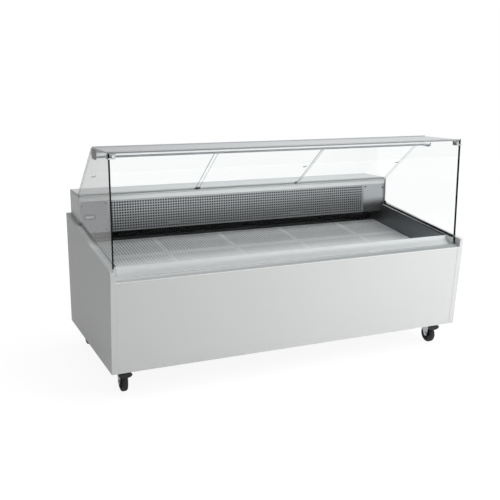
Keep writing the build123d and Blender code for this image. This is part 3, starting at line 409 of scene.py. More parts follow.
def ground_stainless(name, dark, light, rough, metallic=1.0, stretch=along_case):
    """Ground stainless: noise drawn out along one way, drawn coarser than the real scratches. A blasted
    or scratched sheet scatters part of the light, so its metallic share is lower."""
    scratch_wide = 2.5 * mm
    finish, tree, place = new_finish(name)
    scale = [1 / (scratch_wide * factor) for factor in stretch]
    drawn = add(tree, "ShaderNodeMapping", {"Vector": place, "Scale": scale})[0]
    lines = add(tree, "ShaderNodeTexNoise", {"Vector": drawn, "Scale": 1.0, "Detail": 3.0})["Fac"]
    coat(tree, lines, (dark, light), (rough * 0.8, rough * 1.2), {"Metallic": metallic}, (0.12, 0.04 * mm))
    return finish


def parts_of(finish):
    """The node tree of a finish, its shader, the colour it is fed with and its object coordinates."""
    tree = finish.node_tree
    body = next(node for node in tree.nodes if node.type == "BSDF_PRINCIPLED")
    place = next(node for node in tree.nodes if node.type == "TEX_COORD").outputs["Object"]
    return tree, body, body.inputs["Base Color"].links[0].from_socket, place


def paint_light_along(finish, way, start, end, tint, blend="MULTIPLY"):
    """Paints light and shade into a finish's colour: multiplies it by a tint, or mixes the tint in, from
    none at start to all at end along a way, which is a vector that the place is multiplied with. The
    tint is painted reflection and painted shade, for what the sheet would mirror and the shade it lies in."""
    tree, body, tone, place = parts_of(finish)
    reach = add(tree, "ShaderNodeVectorMath", {0: place, 1: way}, operation="DOT_PRODUCT")["Value"]
    share = add(tree, "ShaderNodeMapRange", {
        "Value": reach, "From Min": start, "From Max": end,
    }, interpolation_type="SMOOTHSTEP")[0]
    painted_tone = add(tree, "ShaderNodeMix", {
        0: share, 6: tone, 7: linear(tint),
    }, data_type="RGBA", blend_type=blend)[2]
    tree.links.new(painted_tone, body.inputs["Base Color"])


def paint_hole_shade(finish, plane, centre, counts, pitch, rim, colour):
    """Paints shade round the holes of a sheet: a dark ring in the finish round each hole stands for the
    shade seen through it. A field of holes is given by its centre, its counts and its pitch along the two
    axes of a plane."""
    tree, body, tone, place = parts_of(finish)
    parts = add(tree, "ShaderNodeSeparateXYZ", {"Vector": place})
    share = 1.0
    near = 0.0
    for axis, middle, count, step in zip(plane, centre, counts, pitch):
        hole = middle + step / 2 * ((count + 1) % 2)
        within = add(tree, "ShaderNodeMath", {
            0: parts[axis], 1: middle, 2: count * step / 2,
        }, operation="COMPARE")[0]
        share = add(tree, "ShaderNodeMath", {0: share, 1: within}, operation="MULTIPLY")[0]
        cell = add(tree, "ShaderNodeMath", {
            0: parts[axis], 1: hole + step / 2, 2: hole - step / 2,
        }, operation="WRAP")[0]
        away = add(tree, "ShaderNodeMath", {0: cell, 1: hole}, operation="SUBTRACT")[0]
        near = add(tree, "ShaderNodeMath", {0: away, 1: away, 2: near}, operation="MULTIPLY_ADD")[0]
    edge = add(tree, "ShaderNodeMath", {0: near, 1: rim ** 2}, operation="LESS_THAN")[0]
    share = add(tree, "ShaderNodeMath", {0: share, 1: edge}, operation="MULTIPLY")[0]
    hole_shaded = add(tree, "ShaderNodeMix", {0: share, 6: tone, 7: linear(colour)}, data_type="RGBA")[2]
    tree.links.new(hole_shaded, body.inputs["Base Color"])


mill_stainless = ground_stainless("mill_stainless", "#7a7f82", "#8a8f92", 0.38)
dress(mill_stainless, "display_tub", "plate_rails")
to_rear = (0, 1, 0)
plate_pitch = 17 * mm
plate_margin = 20 * mm
# Reach of the ring of painted shade round each plate hole.
plate_hole_shade = 4.6 * mm
row_pitch = 16.88 * mm
row_count = 14
row_middles = (197.5 * mm, -87.5 * mm)
for number in range(1, 6):
    plate = f"display_plate_{number}"
    finish = ground_stainless(f"{plate}_stainless", "#d8dbdc", "#e4e6e7", 0.55, 0.5)
    # Painted light: the rear strip under the box keeps a lighter colour than the rest, the front is mixed
    # lighter, and rings of painted shade go round the holes.
    paint_light_along(finish, to_rear, 290 * mm, 150 * mm, "#d6d6d6")
    low, high = box_of(plate)
    columns = int((high[0] - low[0] - 2 * plate_margin) / plate_pitch) + 1
    for row_middle in row_middles:
        paint_hole_shade(
            finish, "XY", ((low[0] + high[0]) / 2, row_middle), (columns, row_count),
            (plate_pitch, row_pitch), plate_hole_shade, "#626466",
        )
    paint_light_along(finish, to_rear, 70 * mm, -160 * mm, "#f7f8f8", "MIX")
    dress(finish, plate)
foam = moulded("rigid_foam", ("#d8cda0", "#e2d9b4"), 0.9, 2 * mm, 0.3 * mm)
dress(foam, "tub_insulation")
grey_plastic = moulded("dark_grey_plastic", ("#3a3c3e", "#434547"), 0.45, 1.5 * mm, 0.05 * mm)
dress(grey_plastic, "drain_pipe")


# Front sill: one folded sheet of satin stainless with a concave run on each side of the glass. Its
# front edge is a rolled hem that lies on the front panel and catches the light.
sill_low, sill_high = box_of("front_sill")
satin_stainless = ground_stainless("satin_stainless", "#d6d9da", "#e0e3e3", 0.55, 0.2)
sill_stainless = ground_stainless("sill_stainless", "#eceeee", "#f3f5f5", 0.55, 0.12)
# Painted shade: the sill's colour darkens along its front run towards the hem.
paint_light_along(sill_stainless, (-0.015, 1, 0), sill_low[1] + 60 * mm, sill_low[1] - 5 * mm, "#a6a9ab")
dress(sill_stainless, "front_sill")


def straight(profile, start, end, axis):
    """A profile of (first, second) points carried straight along an axis."""
    first, second, along = axes[axis]
    rings = np.zeros((2, len(profile), 3))
    rings[:, :, (first, second)] = profile
    rings[:, :, along] = [[start], [end]]
    return closed_skin(rings)


def block(low, high):
    """A plain block between two opposite corners."""
    section = [(low[1], low[2]), (high[1], low[2]), (high[1], high[2]), (low[1], high[2])]
    return straight(section, low[0], high[0], "x")


hem_stainless = ground_stainless("hem_stainless", "#f1f3f3", "#f7f8f8", 0.45, 0.2)
hem_radius = 2 * mm
hem_rise = 1 * mm
hem = arc(0.0, 2.0 * math.pi, 17)[:-1] * hem_radius + (sill_low[1], sill_low[2] + hem_rise)
filler_front = -446.3 * mm
filler_top = 609 * mm
filler_inner = 954.7 * mm
filler_outer = 969 * mm
fillers = [
    block((side * filler_inner, filler_front, sill_low[2]), (side * filler_outer, sill_high[1], filler_top))
    for side in (-1, 1)
]
piece("sill_end_fillers", fillers, sill_stainless)
piece("sill_hem", [straight(hem, sill_low[0], sill_high[0], "x")], hem_stainless)


# Channels and caps: the side glass stands in a channel inside each end panel. A satin strip covers
# the channel and another one the panel's top edge, and black sealant fills the joint to the tub.
def points_of(node):
    """The places of a CAD node's mesh points, each place once."""
    mesh = nodes[node].data
    flat = np.empty(len(mesh.vertices) * 3)
    mesh.vertices.foreach_get("co", flat)
    return np.unique(flat.reshape(-1, 3).round(6), axis=0)


def edge_strip(start, end, across, outwards, proud):
    """A thin strip with chamfered sides, from start to end, as wide as across, that stands proud of
    a sheet's edge on the side that outwards points to."""
    across = np.asarray(across)
    lift = np.asarray(outwards) / np.linalg.norm(outwards) * proud
    section = [-across / 2, -across * 0.42 + lift, across * 0.42 + lift, across / 2]
    return closed_skin(np.array([[point + offset for offset in section] for point in (start, end)]))


hair = 0.01 * mm
cap_proud = 0.8 * mm
channel_wall = 17 * mm
channel_wide = 25 * mm
channel_tall = 33 * mm
seal_tall = 6 * mm
seal_wide = 7.5 * mm
lip_over = 5 * mm
bright_line = 4 * mm
down_case = (1.0, 60.0, 1.0)
trim_stainless, gutter_stainless = (
    ground_stainless(name, "#dde0e1", "#e7e9ea", 0.34, 0.4, down_case)
    for name in ("trim_stainless", "gutter_stainless")
)
# Painted shade: the panel caps darken towards the rear, and the left channel strip darkens deeply towards
# the rear.
paint_light_along(trim_stainless, to_rear, -130 * mm, 10 * mm, "#c6c6c6")
paint_light_along(gutter_stainless, to_rear, -140 * mm, 20 * mm, "#444444")
silicone = moulded("black_silicone", ("#101112", "#17181a"), 0.40, 6 * mm, 0.05 * mm)
dress(satin_stainless, "glass_channels")
channel_low, channel_high = box_of("glass_channels")
channel_ends = np.array([
    (0.0, channel_low[1], channel_low[2] + channel_tall), (0.0, channel_high[1], channel_high[2]),
])
panel_points = points_of("right_end_panel")
panel_low, panel_high = box_of("right_end_panel")
panel_front = panel_points[panel_points[:, 1] < panel_low[1] + hair].max(axis=0)
panel_ends = np.array([(0.0, panel_front[1], panel_front[2]), (0.0, panel_high[1], panel_high[2])])
panel_wide = panel_high[0] - panel_low[0]
lip_tall = np.interp(channel_high[1], panel_ends[:, 1], panel_ends[:, 2]) - channel_high[2]
upwards = (0.0, panel_ends[0, 2] - panel_ends[1, 2], panel_ends[1, 1] - panel_ends[0, 1])
tub_low, _ = box_of("display_tub")
joint_ends = channel_ends.copy()
joint_ends[0] = (0.0, tub_low[1], np.interp(tub_low[1], channel_ends[:, 1], channel_ends[:, 2]))
caps = []
seals = []
for side in (-1, 1):
    panel_middle = panel_ends + (side * (panel_low[0] + panel_high[0]) / 2, 0.0, 0.0)
    caps.append(edge_strip(*panel_middle, (panel_wide, 0.0, 0.0), upwards, cap_proud))
    inner = channel_high[0] - channel_wide
    channel_middle = channel_ends + (side * (inner + channel_wall / 2), 0.0, 0.0)
    gutter = edge_strip(*channel_middle, (channel_wall, 0.0, 0.0), upwards, cap_proud)
    if side < 0:
        piece("channel_cap_left", [gutter], gutter_stainless, 20)
    else:
        seals.append(gutter)
        bright = channel_ends + (inner + bright_line / 2, 0.0, cap_proud)
        bright_strip = edge_strip(*bright, (bright_line, 0.0, 0.0), upwards, 0.3 * mm)
        piece("channel_cap_right", [bright_strip], satin_stainless, 20)
    over = max(side, 0) * lip_over
    lip = channel_ends + (side * panel_low[0], 0.0, (lip_tall + over) / 2)
    seals.append(edge_strip(*lip, (0.0, 0.0, lip_tall + over), (-side, 0.0, 0.0), cap_proud))
    joint = joint_ends + (side * inner, 0.0, -seal_tall / 2)
    seals.append(edge_strip(*joint, (0.0, 0.0, seal_tall), (-side, 0.0, 0.0), seal_wide))
piece("panel_caps", caps, trim_stainless, 20)


# Rear box: a folded stainless housing with a worktop, and in front a perforated grille that blows
# the cold air over the goods. Its end plates are screwed on, and the left one holds the display.
blasted_stainless = ground_stainless("blasted_stainless", "#cfd2d3", "#d9dbdc", 0.50, 0.35)
dull_stainless = ground_stainless("dull_stainless", "#a6a9ac", "#b3b6b9", 0.42, 0.55)
# Painted shade: the end plates darken towards the bottom, for the dark tub they would mirror, and the left
# plate is darker as a whole.
paint_light_along(dull_stainless, (0.06, 0, -1), -735 * mm, -672 * mm, "#686868")
paint_light_along(dull_stainless, (1, 0, 0), 0.0, -900 * mm, "#d6d6d6")
grille_stainless = ground_stainless("grille_stainless", "#9fa2a4", "#abaeb0", 0.45, 0.4)
# Painted shade: the grille's colour darkens towards the bottom.
paint_light_along(grille_stainless, (0.03, 0, -1), -860 * mm, -700 * mm, "#b0b0b0")
housing_stainless = ground_stainless("housing_stainless", "#eff1f1", "#f5f6f6", 0.50, 0.12)
# Painted shade: the housing's front face is darker than its walls.
paint_light_along(housing_stainless, to_rear, 262 * mm, 250 * mm, "#d8d8d8")
dress(blasted_stainless, "rear_worktop")
dress(housing_stainless, "evaporator_housing")
dress(dull_stainless, "grille_end_plates")
dress(grille_stainless, "air_grille")
grille_middle = (0.0, 775.75 * mm)
grille_counts = (109, 11)
grille_pitch = (14.75 * mm, 14.75 * mm)
# Painted shade: dark rings round the grille's holes, this wide.
grille_hole_shade = 5.3 * mm
paint_hole_shade(grille_stainless, "XZ", grille_middle, grille_counts, grille_pitch, grille_hole_shade, "#121314")


def screws(name, places, way, radius, height, finish):
    """Pan-head screws along Y: quarter ellipses turned from the rim up to a flat crown. Their dark cross
    recesses, two thin bars on each crown, are a second piece."""
    recess = 0.12 * mm
    bar_half, bar_thin = radius * 0.55, radius * 0.154
    profile = arc(0.0, 0.42 * math.pi, 6) ** (0.6, 1.0) * (radius, way * height)
    heads = [turned(profile, place, "y", 20) for place in places]
    slots = []
    for x, y, z in places:
        crown = y + profile[-1, 1]
        for wide, tall in ((bar_half, bar_thin), (bar_thin, bar_half)):
            slots.append(block((x - wide, crown, z - tall), (x + wide, crown + way * recess, z + tall)))
    piece(f"{name}_heads", heads, finish, 50)
    piece(f"{name}_slots", slots, nylon, 30)


_, screw_high = box_of("grille_screws")
grille_places = [
    (side * x * mm, screw_high[1], z * mm) for side in (-1, 1)
    for x, z in ((828, 706), (828, 850), (955.5, 743), (955.5, 839))
]
black_oxide = metal("black_oxide", "#25272a", "#303235", 6 * mm, 0.45)
screws("grille_screw", grille_places, -1, 5.2 * mm, 2.8 * mm, nylon)
dress(black_oxide, "grille_screws")


# Temperature display: a grey snap-in bezel on the left end plate with a pale window, unlit, and
# three small keys below it.
def soft_block(low, high, edge, axis="z", corner=None, steps=4):
    """A block with rounded edges: rounded rectangles stacked along an axis, drawn in at both ends
    along a quarter circle of the edge radius."""
    first, second, along = axes[axis]
    middle = (np.asarray(low) + high) / 2
    half = np.abs(np.asarray(high) - low) / 2
    corner = corner or edge
    quarter = np.linspace(0.0, math.pi / 2, steps)
    turn = np.concatenate([quarter + k * math.pi / 2 for k in range(4)])
    inset = edge * (1 - np.sin(quarter))
    insets = np.concatenate([inset, inset[::-1]])[:, None]
    rise = half[along] - edge * (1 - np.cos(quarter))
    rings = np.zeros((2 * steps, 4 * steps, 3))
    for way, signs, bend in ((first, (1, -1, -1, 1), np.cos(turn)), (second, (1, 1, -1, -1), np.sin(turn))):
        outline = np.repeat(signs, steps) * (half[way] - corner) + corner * bend
        rings[:, :, way] = outline * (1 - insets / half[way])
    rings[:, :, along] = np.concatenate([-rise, rise[::-1]])[:, None]
    return closed_skin(rings + middle)


bezel_grey = moulded("grey_abs", ("#4b4e51", "#54575a"), 0.45, 1.5 * mm, 0.03 * mm)
window_pale = moulded("unlit_display", ("#b9c0bf", "#c3cac9"), 0.18, 4 * mm, 0.01 * mm)
dress(bezel_grey, "temperature_display")
display_low, display_high = box_of("temperature_display")
face_y = display_low[1]
bezel_over = 1 * mm
bezel = soft_block(
    (display_low[0] - bezel_over, face_y - 1.2 * mm, display_low[2] - bezel_over),
    (display_high[0] + bezel_over, face_y + 2 * mm, display_high[2] + bezel_over), 1 * mm, "y", 3 * mm,
)
piece("display_bezel", [bezel], bezel_grey)
window_side = 7 * mm
window_foot = 8 * mm
window = soft_block(
    (display_low[0] + window_side, face_y - 1.8 * mm, display_low[2] + window_foot),
    (display_high[0] - window_side, face_y, display_high[2] - window_foot), 0.5 * mm, "y", 1.5 * mm,
)
piece("display_window", [window], window_pale)
key_profile = [(2.2 * mm, 0.0), (2.2 * mm, -0.5 * mm), (1.5 * mm, -0.9 * mm)]
key_height = display_low[2] + 4.2 * mm
keys = [
    turned(key_profile, (display_low[0] + aside, face_y - 1.1 * mm, key_height), "y", 20)
    for aside in (14 * mm, 30 * mm, 46 * mm)
]
piece("display_keys", keys, grey_plastic)


# Evaporator: a finned coil dipped in black epoxy, two fans on a black plate behind it. Their black is
# part real coating and part painted shade, as deep as the shade inside the box. The fins are drawn at
# twice their real spacing.
epoxy = moulded("black_epoxy", ("#08090a", "#0d0e0f"), 0.60, 4 * mm, 0.05 * mm, 0.03)
dress(epoxy, "evaporator_coil", "fan_plate")
dress(nylon, "evaporator_fan_motors", "evaporator_fan_left", "evaporator_fan_right")
fin_pitch = 8 * mm
fin_proud = 1.5 * mm
fin_sheet = 0.8 * mm


def fins(low, high):
    """Thin upright sheets across a coil at an even pitch, proud of it on its four long sides."""
    proud = np.array([0.0, fin_proud, fin_proud])
    low, high = low - proud, high + proud
    count = int((high[0] - low[0]) / fin_pitch)
    first = (low[0] + high[0] - (count - 1) * fin_pitch - fin_sheet) / 2
    starts = first + np.arange(count) * fin_pitch
    return [block((start, *low[1:]), (start + fin_sheet, *high[1:])) for start in starts]


coil_low, coil_high = box_of("evaporator_coil")
end_sheet = 4 * mm
coil_deep = 80 * mm
coil_frame = 5 * mm
piece("evaporator_fins", fins(
    (coil_low[0] + end_sheet, coil_low[1], coil_low[2] + coil_frame),
    (coil_high[0] - end_sheet, coil_low[1] + coil_deep, coil_high[2] - coil_frame),
), epoxy, 20)


# Glass: clear float glass, toughened, with ground edges that look nearly black from the side. The
# side panes are bonded to the front pane with a dark bead and stand in their channels on a gasket. An
# index below that of bare glass stands for sheet that hardly mirrors, as if coated.
def clear_sheet(name, tint, slant, index):
    """Clear sheet: it bends and mirrors light, lets lamp light straight through, and turns from its
    tint to slant where the sight passes at a flat angle through more of it."""
    finish, tree, _ = new_finish(name)
    facing = add(tree, "ShaderNodeLayerWeight", {"Blend": 0.5})["Facing"]
    flat = add(tree, "ShaderNodeMapRange", {
        "Value": facing, "From Min": 0.55, "From Max": 0.75,
    }, interpolation_type="SMOOTHSTEP")[0]
    ends = {6: linear(tint), 7: linear(slant)}
    tone = add(tree, "ShaderNodeMix", {0: flat, **ends}, data_type="RGBA")[2]
    sheet = add(tree, "ShaderNodeBsdfPrincipled", {
        "Base Color": tone, "Roughness": 0.0, "IOR": index, "Transmission Weight": 1.0,
    })
    clear = add(tree, "ShaderNodeBsdfTransparent", {"Color": linear(tint)})
    shadow = add(tree, "ShaderNodeLightPath", {})["Is Shadow Ray"]
    both = add(tree, "ShaderNodeMixShader", {0: shadow, 1: sheet[0], 2: clear[0]})
    add(tree, "ShaderNodeOutputMaterial", {"Surface": both[0]})
    return finish


def ground_edge(name, colour):
    """A ground edge: light that enters is lost in it, so it is dark with a soft shine."""
    grit_size = 0.8 * mm
    finish, tree, place = new_finish(name)
    grit = add(tree, "ShaderNodeTexNoise", {"Vector": place, "Scale": 1 / grit_size})["Fac"]
    spread = add(tree, "ShaderNodeMapRange", {"Value": grit, "To Min": 0.15, "To Max": 0.30})[0]
    body = add(tree, "ShaderNodeBsdfPrincipled", {
        "Base Color": linear(colour), "Roughness": spread, "IOR": 1.5,
    })
    add(tree, "ShaderNodeOutputMaterial", {"Surface": body[0]})
    return finish


glass = clear_sheet("coated_front_glass", "#fdfefe", "#fdfefe", 1.12)
side_glass = clear_sheet("clear_float_glass", "#fdfefe", "#dcdedd", 1.2)
# The glass edges are one ground edge in three greys: painted shade and painted light make them dark, grey
# and pale, as each edge looks under the lamps.
edge_dark = ground_edge("ground_glass_edge", "#1e2423")
edge_grey = ground_edge("glass_edge_painted_half_lit", "#4d5453")
edge_pale = ground_edge("glass_edge_painted_lit", "#9aa2a3")
dress(glass, "front_glass")
dress(side_glass, "left_side_glass", "right_side_glass")

edge_proud = 0.4 * mm
pane_low, pane_high = box_of("front_glass")
pane_y = (pane_low[1] + pane_high[1]) / 2
pane_thick = (0.0, pane_high[1] - pane_low[1], 0.0)
left_edge, right_edge = (
    edge_strip((x, pane_y, pane_low[2]), (x, pane_y, pane_high[2]), pane_thick, (x, 0, 0), edge_proud)
    for x in (pane_low[0], pane_high[0])
)
top_edge = edge_strip(
    (pane_low[0], pane_y, pane_high[2]), (pane_high[0], pane_y, pane_high[2]),
    pane_thick, (0, 0, 1), edge_proud,
)
piece("front_glass_left_edge", [left_edge], edge_dark, 20)
piece("front_glass_top_edges", [top_edge, right_edge], edge_grey, 20)

bead = 2 * mm
grey_silicone = moulded("grey_silicone", ("#3b3f41", "#434749"), 0.45, 6 * mm, 0.05 * mm)
side_low, side_high = box_of("right_side_glass")
shelf_low, shelf_high = box_of("top_shelf")
_, worktop_high = box_of("rear_worktop")
housing_low, housing_high = box_of("evaporator_housing")
for side, name, finish in ((-1, "left", silicone), (1, "right", grey_silicone)):
    outer, inner = side * side_high[0], side * side_low[0]
    corner_seal = [
        (outer, pane_high[1]), (inner - side * bead, pane_high[1]), (inner, pane_high[1] + bead),
        (inner, side_low[1]), (outer, side_low[1]),
    ]
    upright = straight(corner_seal, channel_ends[0, 2], shelf_low[2], "z")
    piece(f"corner_seal_{name}", [upright], finish, 25)
end_seal = 6 * mm
end_x = housing_high[0] - end_seal / 2
seals.append(edge_strip(
    (end_x, housing_low[1], channel_high[2]), (end_x, housing_low[1], housing_high[2]),
    (end_seal, 0, 0), (0, -1, 0), cap_proud,
))
piece("glass_seals", seals, silicone, 25)

side_thick = (side_high[0] - side_low[0], 0, 0)
rear_edges = []
for side, node in ((-1, "left_side_glass"), (1, "right_side_glass")):
    points = points_of(node)
    upper = points[points[:, 2] > points[:, 2].max() - hair]
    upper = upper[upper[:, 1].argmax()]
    lower = points[points[:, 1].argmax()]
    upper[0] = lower[0] = middle = side * (side_low[0] + side_high[0]) / 2
    rear_edges.append(edge_strip(
        (middle, channel_high[1], channel_high[2]), (middle, channel_high[1], worktop_high[2]),
        side_thick, to_rear, edge_proud,
    ))
    rise = upper - lower
    outwards = (0.0, rise[2], -rise[1])
    rear_edges.append(edge_strip(lower, upper, side_thick, outwards, edge_proud))
piece("side_glass_edges", rear_edges, edge_pale, 20)


# Shelf and clamps: a stainless shelf lies on the side glass. A corner block over a thin strap holds each
# end, by screws with flat caps through both panes, and a dark clip stops each side glass.
shelf_stainless = ground_stainless("shelf_stainless", "#b6babc", "#c6c9cb", 0.30)
dress(shelf_stainless, "top_shelf")
clamp_stainless = ground_stainless("clamp_stainless", "#f1f3f3", "#f7f8f8", 0.45, 0.2)
# Painted shade: the right clamp and its strap are darker than the left ones.
paint_light_along(clamp_stainless, (1, 0, 0), 300 * mm, 950 * mm, "#b8b8b8")
dress(clamp_stainless, "glass_clamps")
lip_grey = moulded("grey_pvc_edging", ("#a3a7aa", "#abafb2"), 0.45, 3 * mm, 0.05 * mm)
# The grey of the painted shade along the lamp tube's underside.
painted_shade_grey = moulded("grey_painted_tube_shade", ("#c9cdcf", "#d1d4d6"), 0.45, 3 * mm, 0.05 * mm)
shelf_middle = (shelf_low[2] + shelf_high[2]) / 2
shelf_edge = edge_strip(
    (shelf_low[0], shelf_low[1], shelf_middle), (shelf_high[0], shelf_low[1], shelf_middle),
    (0, 0, shelf_high[2] - shelf_low[2] + 0.6 * mm), (0, -1, 0), 0.25 * mm,
)
piece("shelf_edging", [shelf_edge], lip_grey)
rear_lip_tall = 4 * mm
rear_lip = soft_block(
    (shelf_low[0], shelf_high[1] - 1.5 * mm, shelf_low[2] + 1 * mm),
    (shelf_high[0], shelf_high[1] + 0.3 * mm, shelf_high[2] + rear_lip_tall), 0.6 * mm, "x",
)
piece("shelf_rear_lip", [rear_lip], shelf_stainless)
clamp_low, clamp_high = box_of("glass_clamps")
cap_inset = 16.5 * mm
cap_drop = 12 * mm
cap_outer = 9.2 * mm
cap_inner = 7.4 * mm
cap_face = -0.3 * mm
rim_profile = [(cap_inner, 0.0), (cap_inner, cap_face), (cap_outer, cap_face), (cap_outer, 2 * mm)]
rim_reach = side_low[0] - cap_inset
cap_rims = [
    turned(rim_profile, (x, clamp_low[1], clamp_high[2] - cap_drop), "y", 32, True)
    for x in (-rim_reach, rim_reach)
]
piece("clamp_cap_rims", cap_rims, lip_grey)
strap_low = clamp_high[2] - 25 * mm
strap_high = strap_low + 6 * mm
strap_front = pane_low[1] - 3 * mm
strap_edge = 0.8 * mm
strap_reach = 26 * mm
straps = []
for side in (-1, 1):
    corner = (side * (side_high[0] + 4 * mm), strap_front, strap_low)
    along_front = (side * (side_low[0] - strap_reach), pane_low[1], strap_high)
    along_side = (side * side_high[0], pane_high[1] + strap_reach, strap_high)
    straps += [soft_block(corner, end, strap_edge) for end in (along_front, along_side)]
piece("clamp_straps", straps, clamp_stainless)
clip_cover = 0.6 * mm
clip_size = 20 * mm
clip_thick = 4 * mm
clip_low = channel_high[2] + 3 * mm
clips = []
for side in (-1, 1):
    face = side * side_low[0]
    inside = face - side * (clip_thick + clip_cover)
    clips.append(soft_block(
        (face, channel_high[1] - clip_size - clip_cover, clip_low - clip_cover),
        (inside, channel_high[1] + clip_cover, clip_low + clip_size + clip_cover), 1.2 * mm, "x", 3 * mm,
    ))
piece("glass_clip_covers", clips, nylon)


# Lamp: a faintly lit tube of frosted acrylic in an anodised aluminium holder under the shelf, closed by
# a dark grey plate at each end. A grey strip along the tube's underside is painted shade.
def metal_and_cover(name, dark, light, rough, shine, along, limit, cover):
    """Metal up to a distance along one axis, and a matt cover of another colour beyond it."""
    finish, tree, place = new_finish(name)
    grain = 30 * mm
    cloud = add(tree, "ShaderNodeTexNoise", {"Vector": place, "Scale": 1 / grain, "Detail": 3.0})["Fac"]
    ends = {6: linear(dark), 7: linear(light)}
    tone = add(tree, "ShaderNodeMix", {0: cloud, **ends}, data_type="RGBA")[2]
    across = add(tree, "ShaderNodeSeparateXYZ", {"Vector": place})[along]
    reach = add(tree, "ShaderNodeMath", {0: across}, operation="ABSOLUTE")[0]
    beyond = add(tree, "ShaderNodeMath", {0: reach, 1: limit}, operation="GREATER_THAN")[0]
    both = add(tree, "ShaderNodeMix", {0: beyond, 6: tone, 7: linear(cover)}, data_type="RGBA")[2]
    metallic = add(tree, "ShaderNodeMapRange", {"Value": beyond, "To Min": shine, "To Max": 0.0})[0]
    body = add(tree, "ShaderNodeBsdfPrincipled", {
        "Base Color": both, "Metallic": metallic, "Roughness": rough,
    })
    add(tree, "ShaderNodeOutputMaterial", {"Surface": body[0]})
    return finish


tube_low, tube_high = box_of("lamp_tube")
holder_finish = metal_and_cover(
    "anodised_lamp_holder", "#d0d3d5", "#dadddf", 0.40, 0.4, "X", 970 * mm, "#5c5f61",
)
dress(holder_finish, "lamp_holder")
frosted = moulded("frosted_acrylic", ("#e8eaeb", "#eff1f2"), 0.35, 6 * mm, 0.02 * mm, glow=0.6)
dress(frosted, "lamp_tube")
# Painted shade: a grey strip hugs the tube's underside, where it lies in shade.
ledge = 1.6 * mm
ledge_arc = arc(1.1 * math.pi, 1.9 * math.pi, 13)
tube_radius = (tube_high[2] - tube_low[2]) / 2
tube_y, tube_z = (tube_low[1] + tube_high[1]) / 2, (tube_low[2] + tube_high[2]) / 2
shade = np.concatenate([
    ledge_arc * (tube_radius + ledge), ledge_arc[::-1] * (tube_radius + 0.2 * mm),
]) + (tube_y, tube_z)
shade_strip = straight(shade, tube_low[0], tube_high[0], "x")
piece("tube_underside_painted_shade", [shade_strip], painted_shade_grey)


# Door tracks and doors: three clear acrylic sheets slide in anodised aluminium tracks on the box and
# under the shelf. Each has a finger hole with a moulded catch in it, and nylon shoes where doors meet.
track_aluminium = ground_stainless("anodised_aluminium", "#adb0b2", "#b9bcbd", 0.45, 0.3)
dress(track_aluminium, "door_tracks")
track_low, track_high = box_of("door_tracks")
track_front = track_high[1] - 52 * mm
cap_end = 1.003
track_section = [
    (track_front, track_low[2]), (track_high[1], track_low[2]), (track_high[1], worktop_high[2]),
    (track_high[1] - 25 * mm, worktop_high[2]), (track_front, track_low[2] + 6 * mm),
]
end_caps = [straight(track_section, x, x * cap_end, "x") for x in (track_low[0], track_high[0])]
piece("track_end_caps", end_caps, nylon)
acrylic = clear_sheet("clear_acrylic", "#fdfefe", "#fbfcfc", 1.12)
doors = ("rear_door_left", "rear_door_middle", "rear_door_right")
dress(acrylic, *doors)
shoe_wide = 26 * mm
shoe_tall = 20 * mm
shoe_rise = 8 * mm
shoe_proud = 0.9 * mm
shoe_over = 0.25 * mm
door_edge_proud = 0.2 * mm
catch_inner = 11.2 * mm
catch_outer = 12.45 * mm
catch_proud = 0.2 * mm
catch_arc = arc(1.15 * math.pi, 1.85 * math.pi, 20)
for door in doors:
    points = points_of(door)
    low, high = points.min(axis=0), points.max(axis=0)
    end_face = points[points[:, 0] < low[0] + hair]
    bottom = end_face[end_face[:, 2] < low[2] + hair]
    foot = bottom.mean(axis=0)
    head = end_face[end_face[:, 2] > high[2] - hair].mean(axis=0)
    up = (head - foot) / np.linalg.norm(head - foot)
    out = np.array([0.0, up[2], -up[1]])
    thick = np.ptp(bottom[:, 1]) * up[2]
    wide = np.array([high[0] - low[0], 0.0, 0.0])
    left_strip = edge_strip(foot, head, out * thick, (-1, 0, 0), door_edge_proud)
    right_strip = edge_strip(foot + wide, head + wide, out * thick, (1, 0, 0), door_edge_proud)
    piece(f"{door}_left_edge", [left_strip], edge_dark, 20, door)
    if door == "rear_door_left":
        piece(f"{door}_right_edge", [right_strip], edge_pale, 20, door)
    shoe_foot = foot + up * shoe_rise / up[2]
    shoe_spans = []
    if door != "rear_door_left":
        shoe_spans.append((low[0] - shoe_over, low[0] + shoe_wide))
    if door != "rear_door_right":
        shoe_spans.append((high[0] - shoe_wide, high[0] + shoe_over))
    half_thick = thick / 2 + shoe_proud * np.array([1.0, 1.0, 0.4])
    heights = shoe_tall * np.array([0.0, 0.9, 1.0])
    shoes = [closed_skin(np.array([[
        shoe_foot + up * rise + out * side * half + (x - foot[0], 0, 0)
        for x, side in ((first, -1), (last, -1), (last, 1), (first, 1))
    ] for rise, half in zip(heights, half_thick)])) for first, last in shoe_spans]
    shoe_finish = grey_plastic if door == "rear_door_middle" else window_pale
    piece(f"{door}_shoes", shoes, shoe_finish, 30, door)
    hole = points[(points[:, 0] > low[0] + 1 * mm) & (points[:, 0] < high[0] - 1 * mm)]
    centre = (hole.min(axis=0) + hole.max(axis=0)) / 2
    flange = thick / 2 + catch_proud
    radius = np.array([catch_inner, catch_outer, catch_outer, catch_inner])
    depth = np.array([-flange, -flange, flange, flange])
    spoke = catch_arc @ np.array([(1.0, 0.0, 0.0), up])
    rings = centre + radius[None, :, None] * spoke[:, None, :] + depth[None, :, None] * out
    piece(f"{door}_finger_catch", [closed_skin(rings)], edge_grey, 30, door)


